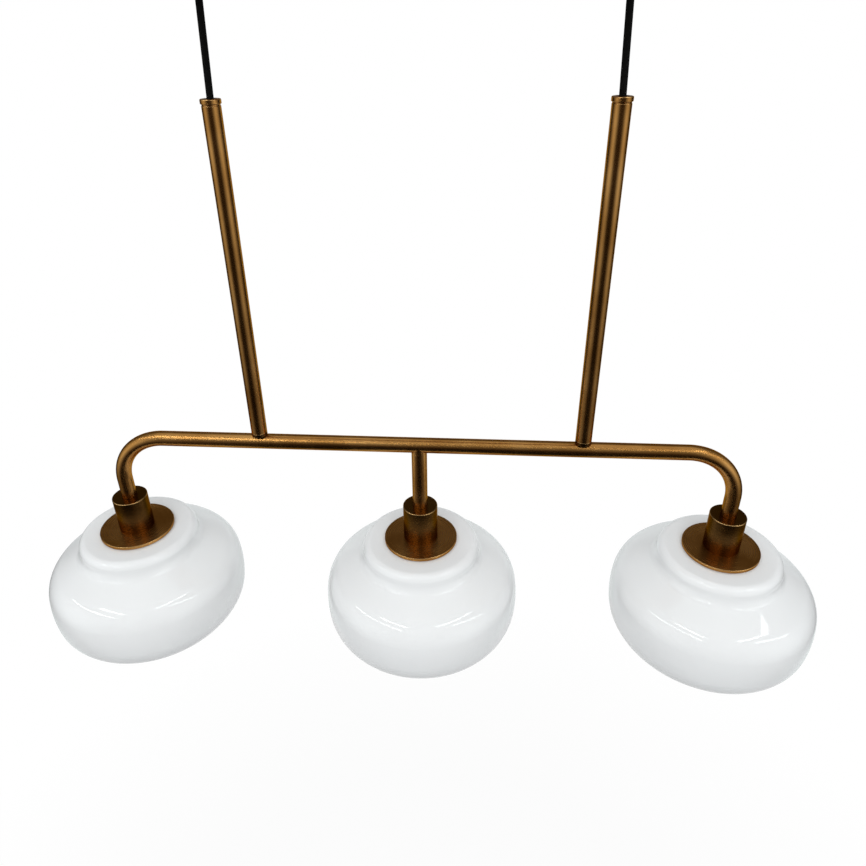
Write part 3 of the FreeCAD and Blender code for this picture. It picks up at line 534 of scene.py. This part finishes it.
def carried(outline, x, z, segments, relief):
    """The rings that an outline makes round an upright axis: their points, normals and turning.

    A point of the outline at (r, h) makes the ring (x + r cos a, r sin a, z + h), for a from 0 to a full
    turn. A relief is what it adds to r at an angle, radius, height and outward part of the normal, and
    with one the normals are square to the lines between neighbouring points.
    """
    points, normals, _ = outline
    shape = (len(points), segments)
    angles = np.arange(segments) * TAU / segments
    cos, sin = np.broadcast_to(np.cos(angles), shape), np.broadcast_to(np.sin(angles), shape)
    radius, height = np.broadcast_to(points[:, :1], shape), np.broadcast_to(points[:, 1:], shape)
    out, up = normals[:, :1], np.broadcast_to(normals[:, 1:], shape)
    across = np.stack([out * cos, out * sin, up], -1)
    if relief:
        radius = radius + relief(angles[None, :], radius, height, out)
    grid = np.stack([x + radius * cos, radius * sin, z + height], -1)
    if relief:
        measured = np.cross(np.roll(grid, -1, 1) - np.roll(grid, 1, 1), np.gradient(grid, axis=0))
        measured = measured * np.sign((measured * across).sum(-1, keepdims=True))
        size = np.linalg.norm(measured, axis=-1, keepdims=True)
        across = np.where(size > 1e-12, measured / np.maximum(size, 1e-12), across)
    length = np.concatenate([[0.0], np.cumsum(np.linalg.norm(np.diff(points, axis=0), axis=1))])
    turning = np.stack([np.broadcast_to(length[:, None], shape), cos, sin], -1)
    return grid.reshape(-1, 3), across.reshape(-1, 3), turning.reshape(-1, 3)


def turned(name, outline, x, z, segments=128, relief=None):
    """A closed outline carried round an upright axis.

    The outline goes round the material, clockwise, so its left side is the outside.
    """
    rows, edge_wear_and_highlight = len(outline[0]), outline[2]
    grid, across, turning = carried(outline, x, z, segments, relief)
    faces = quads(rows, segments, True, facing(grid, across, rows, segments))
    return build(name, grid, across, faces, turning, np.repeat(edge_wear_and_highlight, segments))


def turned_solid(name, outline, x, z, segments=96, relief=None):
    """An open outline whose two ends lie on the axis, carried round it: each end becomes one point."""
    points, normals, edge_wear_and_highlight = outline
    rows = len(points) - 2
    grid, across, turning = carried((points[1:-1], normals[1:-1], edge_wear_and_highlight[1:-1]), x, z, segments, relief)
    flip = facing(grid, across, rows, segments)
    column = np.arange(segments)
    beside = (column + 1) % segments
    base = (rows - 1) * segments
    start_fan = np.stack([np.full(segments, rows * segments), beside, column], 1)
    end_fan = np.stack([np.full(segments, rows * segments + 1), base + column, base + beside], 1)
    step = -1 if flip else 1
    faces = quads(rows, segments, False, flip) + start_fan[:, ::step].tolist() + end_fan[:, ::step].tolist()
    ends = np.array([[x, 0.0, z + points[i, 1]] for i in (0, -1)])
    end_normals = np.array([[0.0, 0.0, normals[i, 1]] for i in (0, -1)])
    return build(
        name,
        np.vstack([grid, ends]),
        np.vstack([across, end_normals]),
        faces,
        np.vstack([turning, np.zeros((2, 3))]),
        np.concatenate([np.repeat(edge_wear_and_highlight[1:-1], segments), edge_wear_and_highlight[[0, -1]]]),
    )


def thread(pitch, depth, low, high):
    """A screw thread cut into an outer wall between two heights: a wave that climbs one pitch each turn."""

    def relief(angle, radius, height, out):
        share = np.clip((height - low) / pitch, 0, 1) * np.clip((high - height) / pitch, 0, 1)
        return -depth * share * (out > 0.5) * (0.5 + 0.5 * np.cos(height / pitch * TAU - angle))

    return relief


def scallops(count, depth, beyond):
    """Finger hollows round the part of a rim that lies beyond a radius."""

    def relief(angle, radius, height, out):
        return -depth * (radius > beyond) * (0.5 - 0.5 * np.cos(angle * count)) ** 2

    return relief


def swept(name, path, outline, segments=72, saddle=0.0, level=0.0):
    """A tube: a closed outline in (along, out) carried round a path.

    The path gives, for each length along it, a place, a direction and a side, in the XZ plane. A point of
    the outline at (s, r) makes the ring P(s) + r (cos a side + sin a Y). Where a saddle radius R is given,
    the tube's far end is drawn up by sqrt(R^2 - (r sin a)^2), which is how it sits on a round bar, and
    what lies before the level length stays square.
    """
    points, normals, edge_wear_and_highlight = outline
    shape = (len(points), segments)
    angles = np.arange(segments) * TAU / segments
    cos, sin = np.broadcast_to(np.cos(angles), shape), np.broadcast_to(np.sin(angles), shape)
    along, out = points[:, :1], points[:, 1:]
    travel = np.broadcast_to(along, shape)
    if saddle:
        bite = np.sqrt(np.maximum(saddle**2 - (out * sin) ** 2, 0.0))
        travel = along - bite * np.clip((along - level) / (along.max() - level), 0, 1)
    place, direction, side = path(travel)
    spoke = cos[..., None] * side + sin[..., None] * np.array([0.0, 1.0, 0.0])
    grid = (place + out[..., None] * spoke).reshape(-1, 3)
    across = (normals[:, :1, None] * direction + normals[:, 1:, None] * spoke).reshape(-1, 3)
    turning = np.stack([travel, cos, sin], -1).reshape(-1, 3)
    faces = quads(*shape, True, facing(grid, across, *shape))
    return build(name, grid, across, faces, turning, np.repeat(edge_wear_and_highlight, segments))


def straight_path(x, z, up):
    """A path that starts at (x, 0, z) and runs straight up, or down where up is -1."""

    def path(s):
        shape = s.shape + (3,)
        place = np.zeros(shape)
        place[..., 0], place[..., 2] = x, z + s * up
        direction = np.broadcast_to(np.array([0.0, 0.0, float(up)]), shape)
        side = np.broadcast_to(np.array([1.0, 0.0, 0.0]), shape)
        return place, direction, side

    return path


def bar_path(half_length, drop, bend, z):
    """The bar's line and its length: up, a quarter turn, along, a quarter turn and down.

    The line goes at constant speed. Its height is z along the middle and z less the drop at both ends.
    """
    quarter = bend * math.pi / 2
    stretches = np.cumsum([0.0, drop - bend, quarter, 2 * (half_length - bend), quarter, drop - bend])

    def path(s):
        first_up = np.clip(s, 0, stretches[1])
        first_arc = np.clip((s - stretches[1]) / bend, 0, math.pi / 2)
        level = np.clip(s - stretches[2], 0, stretches[3] - stretches[2])
        second_arc = np.clip((s - stretches[3]) / bend, 0, math.pi / 2)
        last_down = np.clip(s - stretches[4], 0, None)
        turn = first_arc + second_arc
        place = np.zeros(s.shape + (3,))
        place[..., 0] = -half_length + bend * (1 - np.cos(first_arc)) + level + bend * np.sin(second_arc)
        rise = first_up + bend * np.sin(first_arc)
        place[..., 2] = z - drop + rise - bend * (1 - np.cos(second_arc)) - last_down
        direction = np.stack([np.sin(turn), np.zeros_like(turn), np.cos(turn)], -1)
        side = np.stack([np.cos(turn), np.zeros_like(turn), -np.sin(turn)], -1)
        return place, direction, side

    return path, stretches[-1]


# ---------------------------------------------------------------- pieces of the light

finishes = make_finishes()


def dress(piece, body, slot, *replaced, finish=None):
    """Gives a finished piece its body, its finish and the part's nodes that it stands for."""
    piece.data.materials.append(finishes[finish or slot])
    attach(piece, body)
    if replaced:
        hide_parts(*replaced)


TUBE_WALL = 1.1 * MM
BAR_BEND = 50.0 * MM
BALL_GAP = 0.3 * MM
CORD_BUSH_DEPTH = 1.5 * MM

tube_radius = half_width("bar_tube")
tube_bore = tube_radius - TUBE_WALL
bar_z = span("bar_tube")[1][2] - tube_radius
cup_top = span("bar_tube")[0][2]


def tube_outline(length):
    """The outline of the brass tube's wall in (along, out), clockwise, with its rims just broken."""
    edge = 0.35 * MM
    corners = [
        (0.0, tube_bore, edge),
        (0.0, tube_radius, edge),
        (length, tube_radius, edge),
        (length, tube_bore, edge),
    ]
    return subdivided(*rounded(corners), longest=3.0 * MM)


def make_cords():
    """The two taut cords, each one straight run from the bush in its stem to the ball in its grip.

    Between its two ends each has one more point, 6 diameters up from the lower one.
    """
    for side in SIDES:
        ball_low, ball_high = span(f"swivel_ball_{side}")
        bush_z = span(f"stem_cap_{side}")[1][2] - CORD_BUSH_DEPTH
        foot = np.array([middle_x(f"stem_cap_{side}"), 0.0, bush_z])
        run = (ball_low + ball_high) / 2 - foot
        ahead = run / np.linalg.norm(run)
        length = np.linalg.norm(run) - (ball_high[2] - ball_low[2]) / 2 - BALL_GAP
        diameter = half_width(f"cord_{side}") * 2
        curve = bpy.data.curves.new(f"cord_{side}_braid", "CURVE")
        curve.dimensions = "3D"
        curve.bevel_depth = diameter / 2
        curve.bevel_resolution = 10
        curve.resolution_u = 16
        curve.use_fill_caps = True
        spline = curve.splines.new("NURBS")
        places = (0.0, 6 * diameter, length)
        spline.points.add(len(places) - 1)
        for point, place in zip(spline.points, places):
            point.co = (*(foot + ahead * place), 1.0)
        spline.order_u = 3
        spline.use_endpoint_u = True
        piece = bpy.data.objects.new(f"cord_{side}_braid", curve)
        bpy.context.scene.collection.objects.link(piece)
        dress(piece, f"cord_{side}", "black_fabric", f"cord_{side}")


def make_bar():
    """The bent bar, one tube with an even wall."""
    path, length = bar_path(-span("bar_tube")[0][0] - tube_radius, bar_z - cup_top, BAR_BEND, bar_z)
    bar = swept("bent_bar", path, tube_outline(length))
    dress(bar, "frame", "brass", "bar_tube", finish="tube_brass")


COLLAR_HEIGHT = 3.4 * MM
COLLAR_GAP = 0.25 * MM
COLLAR_NECK = 5.2 * MM
WIRE_BORE = 3.6 * MM


def make_stems():
    """The two stems, each a straight tube down to a collar of the same width, which stands on the bar.

    The collar is cut square. Below it a narrow neck, drawn to the bar's round, joins it to the bar.
    """
    length = COLLAR_HEIGHT + COLLAR_GAP + tube_radius
    collar_corners = [
        (0.0, WIRE_BORE, 0.05 * MM),
        (0.0, tube_radius, 0.3 * MM),
        (COLLAR_HEIGHT, tube_radius, 0.3 * MM),
        (COLLAR_HEIGHT, COLLAR_NECK, 0.05 * MM),
        (length, COLLAR_NECK, 0.02 * MM),
        (length, WIRE_BORE, 0.02 * MM),
    ]
    for side in SIDES:
        x, top = middle_x(f"stem_{side}"), span(f"stem_{side}")[1][2]
        reach = top - bar_z - length
        tube = swept(f"stem_{side}_tube", straight_path(x, top, -1), tube_outline(reach))
        dress(tube, "frame", "brass", f"stem_{side}", finish="tube_brass")
        path = straight_path(x, top - reach, -1)
        outline = rounded(collar_corners)
        collar = swept(f"stem_{side}_collar", path, outline, saddle=tube_radius, level=COLLAR_HEIGHT)
        # The collar's darkened brass is painted shade.
        dress(collar, "frame", "brass", finish="painted_shade_brass")


def make_centre_drop():
    """The centre drop, one tube from its lamp's cup up to the bar, where it is cut to the bar's round."""
    path = straight_path(0.0, cup_top, 1)
    drop = swept("drop_tube", path, tube_outline(bar_z - cup_top), saddle=tube_radius)
    dress(drop, "frame", "brass", "centre_drop", finish="tube_brass")


def make_stem_tops():
    """The turned cap and the black bush on each stem. A groove sets the cap's rim off from the tube."""
    for side in SIDES:
        low, high = span(f"stem_cap_{side}")
        x, rim = middle_x(f"stem_cap_{side}"), half_width(f"stem_cap_{side}")
        shoulder = span(f"stem_{side}")[1][2] - high[2]
        bush = half_width(f"cord_bush_{side}")
        depth = low[2] - high[2]
        fit = 0.05 * MM
        groove, groove_top, rim_foot = tube_radius - 0.3 * MM, shoulder + 1.0 * MM, shoulder + 1.5 * MM
        cap = [
            (bush + fit, 0.0, 0.3 * MM),
            (bush + fit, depth),
            (tube_bore - fit, depth),
            (tube_bore - fit, shoulder),
            (groove, shoulder, 0.15 * MM),
            (groove, groove_top, 0.3 * MM),
            (rim, rim_foot, 0.3 * MM),
            (rim, 0.0, 0.9 * MM),
        ]
        piece = turned(f"stem_top_{side}", rounded(cap[::-1]), x, high[2], segments=96)
        dress(piece, "frame", "brass", f"stem_cap_{side}")
        cord = half_width(f"cord_{side}")
        mouth, floor = 3.8 * MM, -2.6 * MM
        plug = [
            (mouth, 0.0, 0.3 * MM),
            (mouth, floor),
            (cord + fit, floor),
            (cord + fit, depth),
            (bush, depth),
            (bush, 0.0, 0.15 * MM),
        ]
        piece = turned(f"cord_bush_plug_{side}", rounded(plug[::-1]), x, high[2], segments=96)
        dress(piece, "frame", "black_nylon", f"cord_bush_{side}")


def make_cups():
    """The brass cups: a thin side under a roof with a hole, with broken edges."""
    for lamp in LAMPS:
        low, high = span(f"socket_cup_{lamp}")
        outer, height = half_width(f"socket_cup_{lamp}"), high[2] - low[2]
        wall, roof, hole = 1.2 * MM, 2.0 * MM, 5.1 * MM
        corners = [
            (hole, 0.0, 0.1 * MM),
            (outer, 0.0, 0.8 * MM),
            (outer, -height, 0.25 * MM),
            (outer - wall, -height, 0.2 * MM),
            (outer - wall, -roof, 0.3 * MM),
            (hole, -roof, 0.1 * MM),
        ]
        outline = subdivided(*rounded(corners), longest=2.0 * MM)
        piece = turned(f"lamp_cup_{lamp}", outline, middle_x(f"socket_cup_{lamp}"), high[2])
        # The cups' darkened brass is painted shade.
        dress(piece, "frame", "brass", f"socket_cup_{lamp}", finish="painted_shade_brass")


def make_discs():
    """The flat brass discs, with broken edges."""
    for lamp in LAMPS:
        low, high = span(f"shade_disc_{lamp}")
        outer, height, hole = half_width(f"shade_disc_{lamp}"), high[2] - low[2], 16.3 * MM
        corners = [
            (hole, 0.0, 0.1 * MM),
            (outer, 0.0, 0.55 * MM),
            (outer, -height, 0.5 * MM),
            (hole, -height, 0.1 * MM),
        ]
        outline = subdivided(*rounded(corners), longest=1.5 * MM)
        x = middle_x(f"shade_disc_{lamp}")
        piece = turned(f"brass_disc_{lamp}", outline, x, high[2], segments=192)
        dress(piece, f"shade_{lamp}", "brass", f"shade_disc_{lamp}")


def shade_outline():
    """The glass wall, from the hole over the collar, down the neck, the slope and the side, and back inside.

    Arc angles are measured from straight out, positive upwards. The inside shares the arcs' centres, and
    a half circle joins the two at the mouth.
    """
    wall = 3.6 * MM
    hole, collar, lip = 17.5 * MM, 60.5 * MM, 8.0 * MM
    neck, slope = 12.0 * MM, 60.0
    shoulder, shoulder_angle = 33.0 * MM, 8.0
    side, widest, widest_drop = 110.0 * MM, 101.7 * MM, 70.0 * MM
    base, base_angle, mouth_angle = 38.0 * MM, 7.0, 78.0

    def towards(angle):
        return np.array([math.cos(math.radians(angle)), math.sin(math.radians(angle))])

    side_centre = np.array([widest - side, -widest_drop])
    shoulder_centre = side_centre + (side - shoulder) * towards(shoulder_angle)
    base_centre = side_centre + (side - base) * towards(-base_angle)
    slope_top = shoulder_centre + shoulder * towards(slope)
    neck_x = collar + neck
    foot_x = neck_x - neck * math.cos(math.radians(slope))
    foot_z = slope_top[1] + (slope_top[0] - foot_x) / math.tan(math.radians(slope))
    neck_centre = (neck_x, foot_z + neck * math.sin(math.radians(slope)))
    lip_centre = (collar - lip, -lip)
    rim_centre = base_centre + (base - wall / 2) * towards(-mouth_angle)
    outer_points, outer_normals = smooth_chain(
        (lip_centre, lip, 90, 0, 1, 14),
        (neck_centre, neck, 180, 180 + slope, -1, 12),
        (shoulder_centre, shoulder, slope, shoulder_angle, 1, 24),
        (side_centre, side, shoulder_angle, -base_angle, 1, 16),
        (base_centre, base, -base_angle, -mouth_angle, 1, 24),
        (rim_centre, wall / 2, -mouth_angle, -mouth_angle - 180, 1, 12),
        (base_centre, base - wall, -mouth_angle, -base_angle, -1, 24),
        (side_centre, side - wall, -base_angle, shoulder_angle, -1, 16),
        (shoulder_centre, shoulder - wall, shoulder_angle, slope, -1, 24),
        (neck_centre, neck + wall, 180 + slope, 180, 1, 12),
        (lip_centre, lip - wall, 0, 90, -1, 10),
    )
    # The edge of the hole is the rounded end of a block, whose two sharp corners are left out.
    edge = 0.6 * MM
    block = [(hole, -wall, edge), (hole, 0.0, edge), (collar, 0.0), (collar, -wall)]
    hole_points, hole_normals, _ = rounded(block)
    points = np.vstack([hole_points[:-4], outer_points])
    normals = np.vstack([hole_normals[:-4], outer_normals])
    return subdivided(points, normals, np.zeros(len(points)), longest=3.0 * MM)


def make_shades():
    """The three opal glasses."""
    outline = shade_outline()
    for lamp in LAMPS:
        top = span(f"shade_glass_{lamp}")[1][2]
        piece = turned(f"opal_bowl_{lamp}", outline, middle_x(f"shade_glass_{lamp}"), top, segments=256)
        dress(piece, f"shade_{lamp}", "opal_glass", f"shade_glass_{lamp}")


def make_rings():
    """The rings that clamp the glass: a scalloped flange on a plain hub."""
    for lamp in LAMPS:
        low, high = span(f"shade_ring_{lamp}")
        flange, height = half_width(f"shade_ring_{lamp}"), high[2] - low[2]
        bore, hub, thick = 16.3 * MM, 19.5 * MM, 2.0 * MM
        corners = [
            (bore, 0.0, 0.1 * MM),
            (flange, 0.0, 0.35 * MM),
            (flange, -thick, 0.5 * MM),
            (hub, -thick, 0.3 * MM),
            (hub, -height, 0.4 * MM),
            (bore, -height, 0.4 * MM),
        ]
        outline = subdivided(*rounded(corners), longest=1.0 * MM)
        grip = scallops(count=20, depth=1.1 * MM, beyond=(flange + hub) / 2)
        x = middle_x(f"shade_ring_{lamp}")
        piece = turned(f"clamp_ring_{lamp}", outline, x, high[2], segments=240, relief=grip)
        dress(piece, f"shade_{lamp}", "phenolic", f"shade_ring_{lamp}")


def make_lampholders():
    """The moulded lampholders: a neck, a threaded skirt, and the open socket with its floor."""
    for lamp in LAMPS:
        low, high = span(f"lampholder_{lamp}")
        skirt, length = half_width(f"lampholder_{lamp}"), high[2] - low[2]
        neck, neck_height, nipple, socket = 9.0 * MM, 4.0 * MM, 5.05 * MM, 13.95 * MM
        room, room_top, room_floor, floor, rivet = 11.0 * MM, -8.0 * MM, -25.0 * MM, -30.0 * MM, 1.75 * MM
        corners = [
            (nipple, 0.0, 0.2 * MM),
            (neck, 0.0, 0.4 * MM),
            (neck, -neck_height, 0.3 * MM),
            (skirt, -neck_height, 1.0 * MM),
            (skirt, -length, 0.8 * MM),
            (socket, -length, 0.4 * MM),
            (socket, floor, 0.2 * MM),
            (rivet, floor, 0.1 * MM),
            (rivet, room_floor, 0.1 * MM),
            (room, room_floor, 0.5 * MM),
            (room, room_top, 0.5 * MM),
            (nipple, room_top, 0.1 * MM),
        ]
        outline = subdivided(*rounded(corners), longest=0.3 * MM)
        screw = thread(pitch=2.0 * MM, depth=0.6 * MM, low=-length + 1.0 * MM, high=-32.0 * MM)
        x = middle_x(f"lampholder_{lamp}")
        piece = turned(f"moulded_lampholder_{lamp}", outline, x, high[2], segments=96, relief=screw)
        dress(piece, "frame", "phenolic", f"lampholder_{lamp}")


def make_bulb_glass(lamp):
    """A bulb's glass: a globe that flares into a straight neck, with a flat top inside the cap.

    The top starts on the axis. Its last corner is where the globe starts, so only the globe's point stays.
    """
    low, high = span(f"bulb_glass_{lamp}")
    ball, height = half_width(f"bulb_glass_{lamp}"), high[2] - low[2]
    neck, run = 12.4 * MM, 12.4 * MM
    rise = height - ball - run
    flare = math.degrees(math.asin(ball / math.hypot(neck, rise)) - math.atan(neck / rise))
    globe, globe_normals = smooth_chain(((0.0, ball - height), ball, flare, -90.0, 1, 40))
    corners = [(0.0, 0.0), (neck, 0.0, 0.3 * MM), (neck, -run, 6.0 * MM), tuple(globe[0])]
    top, top_normals, _ = rounded(corners)
    points, normals = np.vstack([top[1:-2], globe]), np.vstack([top_normals[1:-2], globe_normals])
    points[-1, 0] = 0.0
    outline = (points, normals, np.zeros(len(points)))
    piece = turned_solid(f"frosted_globe_{lamp}", outline, middle_x(f"bulb_glass_{lamp}"), high[2])
    dress(piece, f"bulb_{lamp}", "bulb_glass", f"bulb_glass_{lamp}")


def make_bulb_cap(lamp):
    """A bulb's rolled screw cap, with the taper down to its solder tip.

    The stretch of the outline that runs back along the axis is left out, which opens it at both ends.
    """
    low, high = span(f"bulb_cap_{lamp}")
    shell, length = half_width(f"bulb_cap_{lamp}"), high[2] - low[2]
    tip, tip_height, taper = 4.5 * MM, 0.8 * MM, 3.0 * MM
    corners = [
        (0.0, 0.0),
        (tip, 0.0, 0.4 * MM),
        (tip, -tip_height, 0.1 * MM),
        (shell, -tip_height - taper, 1.5 * MM),
        (shell, -length, 0.3 * MM),
        (0.0, -length),
    ]
    points, normals, edge_wear_and_highlight = subdivided(*rounded(corners), longest=0.4 * MM)
    axis = np.flatnonzero(points[:, 0] < 1e-9)
    keep = np.arange(axis[0] + 1, axis[axis > len(points) // 2][0] + 1)
    outline = (points[keep], normals[keep], edge_wear_and_highlight[keep])
    screw = thread(pitch=3.63 * MM, depth=1.0 * MM, low=-length + 1.0 * MM, high=-tip_height - taper)
    x = middle_x(f"bulb_glass_{lamp}")
    piece = turned_solid(f"screw_cap_{lamp}", outline, x, high[2], relief=screw)
    dress(piece, f"bulb_{lamp}", "bulb_cap_metal", f"bulb_cap_{lamp}")


def make_bulbs():
    """The three bulbs, each a frosted glass in a screw cap."""
    for lamp in LAMPS:
        make_bulb_glass(lamp)
        make_bulb_cap(lamp)


def keep_plain_nodes():
    """Gives every node that keeps its own mesh the finish of its slot."""
    slots = {entry["node"]: entry["material_slot"] for entry in frame["record"]["subparts"]}
    for name, node in frame["nodes"].items():
        if node.hide_render:
            continue
        slot = "canopy_brass" if slots[name] == "brass" else slots[name]
        node.data.materials.clear()
        node.data.materials.append(finishes[slot])


# ---------------------------------------------------------------- stage and light

FLOOR_LEVEL = -1.9
FLOOR_RADIUS = 1.3
PAPER_GREY = (0.34, 0.34, 0.34)
PURE_WHITE = (1.0, 1.0, 1.0)

# How bright each part of the mirrored room is, where 1 is white.
MIRRORED_WHITE = 0.8
MIRRORED_WINDOW = 1.1
MIRRORED_CEILING = 0.92
MIRRORED_WALL = 0.15
MIRRORED_DARK = 0.003
BRIGHTEST = 1.2


def make_stage():
    """A round sheet of pale paper well below the light, white to the camera but for the object's shadow.

    The sheet is one point in the middle and rings of points round it. What mirrors it sees it white
    behind the object and dark in front, as in a room with a lit back wall.
    """
    rings, spokes = 6, 96
    shadow_share = 0.04
    radii = FLOOR_RADIUS * (np.arange(rings) + 1) / rings
    angles = np.arange(spokes) * TAU / spokes
    x, y = radii[:, None] * np.cos(angles), radii[:, None] * np.sin(angles)
    points = np.stack([x, y, np.full_like(x, FLOOR_LEVEL)], -1).reshape(-1, 3)
    points = np.vstack([points, [0.0, 0.0, FLOOR_LEVEL]])
    fan = [[len(points) - 1, i, (i + 1) % spokes] for i in range(spokes)]
    floor = build("studio_floor", points, None, quads(rings, spokes, False, True) + fan)
    paper = Finish("white_paper")
    across, back, _ = paper.split(paper.place())
    sheet = paper.node("BsdfPrincipled", None, Base_Color=PAPER_GREY, Roughness=0.9)
    white = paper.node("Emission", None, PURE_WHITE, 1.0)
    mirrored = paper.node("Emission", None, PURE_WHITE, back.above(-0.6, 0.5) * MIRRORED_WHITE)
    reach = (across * across + back * back) ** 0.5
    whiteness = reach.above(0.5 * FLOOR_RADIUS, FLOOR_RADIUS) * shadow_share + (1 - shadow_share)
    share = paper.seen_by("Is Camera Ray", "Is Transmission Ray") * whiteness
    lit = paper.node("MixShader", None, share, sheet, white)
    paper.surface(paper.node("MixShader", None, paper.seen_by("Is Glossy Ray"), lit, mirrored))
    floor.data.materials.append(paper.material)


# Each ceiling light: its far end and its near end, as metres across and back on a ceiling one metre up,
# then its width and its brightness.
ROOF_LIGHTS = (
    ((-1.72, -0.10), (-0.47, -1.50), 0.17, 7.0),
    ((-0.74, -0.42), (-0.25, -1.00), 0.13, 9.0),
    ((0.90, -0.16), (0.35, -0.90), 0.13, 8.0),
    ((2.30, -0.50), (0.79, -0.92), 0.26, 5.0),
)


def roof_light(across, back, far, near, width, brightness):
    """A thin light on the ceiling: bright between its two ends and within its width, with soft edges."""
    fade = 0.1
    length = math.dist(far, near)
    ahead = ((near[0] - far[0]) / length, (near[1] - far[1]) / length)
    along = (across - far[0]) * ahead[0] + (back - far[1]) * ahead[1]
    aside = ((across - far[0]) * ahead[1] - (back - far[1]) * ahead[0]).size()
    ends = along.above(0.0, fade) * (1 - along.above(length - fade, length))
    return ends * (1 - aside.above(width / 4, width / 2)) * brightness


def make_world():
    """A studio: white behind the object, tall windows at both sides, a bright ceiling, dark elsewhere.

    The camera and glass see plain white, matt surfaces an even soft light, and shiny ones the room.
    Bearings run from 0, towards the camera, to 1, straight behind. Heights run from -1, down, to 1, up.
    """
    world = bpy.data.worlds.new("studio")
    bpy.context.scene.world = world
    sky = Shader(world, "ShaderNodeOutputWorld")
    x, y, height = sky.split(sky.node("TexCoord", None, out="Generated"))
    bearing = x.size().angle_from(0 - y)
    window = bearing.above(0.12, 0.32) * (1 - bearing.above(0.38, 0.60))
    window = window * (height.above(-0.75, -0.10) ** 1.5) * (1 - height.above(0.30, 0.55))
    back = bearing.above(0.45, 0.75)
    ceiling = height.above(0.78, 0.94) * back + (height.above(-0.35, 0.95) ** 2) * (1 - back)
    wall = back * height.above(0.02, 0.22)
    behind = bearing.above(0.70, 0.80) * (1 - height.above(0.02, 0.22))
    low = bearing.above(0.40, 0.65) * (1 - height.above(-0.68, -0.50))
    white = (behind + low).clamped()
    level = MIRRORED_DARK + window * MIRRORED_WINDOW + ceiling * MIRRORED_CEILING
    level = (level + wall * MIRRORED_WALL + white * MIRRORED_WHITE).clamped(0.0, BRIGHTEST)
    roof = sum(roof_light(x / height, y / height, *light) for light in ROOF_LIGHTS)
    roof = roof * height.above(0.1, 0.2)
    dark_tint, light_tint = (1.0, 0.50, 0.28), (0.97, 1.03, 1.02)
    tint = sky.mix(level.above(0.0, 0.2), dark_tint, light_tint)
    mirrored = sky.node("Background", None, tint, level + roof)
    soft = sky.node("Background", None, (0.96, 0.98, 1.0), 0.70)
    white_wall = sky.node("Background", None, PURE_WHITE, 1.0)
    lit = sky.node("MixShader", None, sky.seen_by("Is Glossy Ray"), soft, mirrored)
    seen = sky.seen_by("Is Camera Ray", "Is Transmission Ray")
    sky.surface(sky.node("MixShader", None, seen, lit, white_wall))


def make_lamp():
    """A large soft rectangular lamp over the camera, turned to face the object, its length along the bar.

    Nothing mirrors it: the room in make_world is what shows in glass and metal.
    """
    middle, aim = np.array([0.0, -1.6, 1.1]), np.array([0.0, 0.0, -0.5])
    data = bpy.data.lights.new("overhead", "AREA")
    data.shape = "RECTANGLE"
    data.size, data.size_y = 2.6, 1.6
    data.energy = 24.0
    lamp = bpy.data.objects.new("overhead", data)
    right = np.array([1.0, 0.0, 0.0])
    away = (middle - aim) / np.linalg.norm(middle - aim)
    turn = Matrix(np.stack([right, np.cross(away, right), away], 1).tolist())
    lamp.matrix_world = Matrix.Translation(middle) @ turn.to_4x4()
    lamp.visible_camera = False
    lamp.visible_glossy = False
    bpy.context.scene.collection.objects.link(lamp)


make_camera()
make_cords()
make_bar()
make_stems()
make_centre_drop()
make_stem_tops()
make_cups()
make_discs()
make_shades()
make_rings()
make_lampholders()
make_bulbs()
keep_plain_nodes()
make_world()
make_stage()
make_lamp()
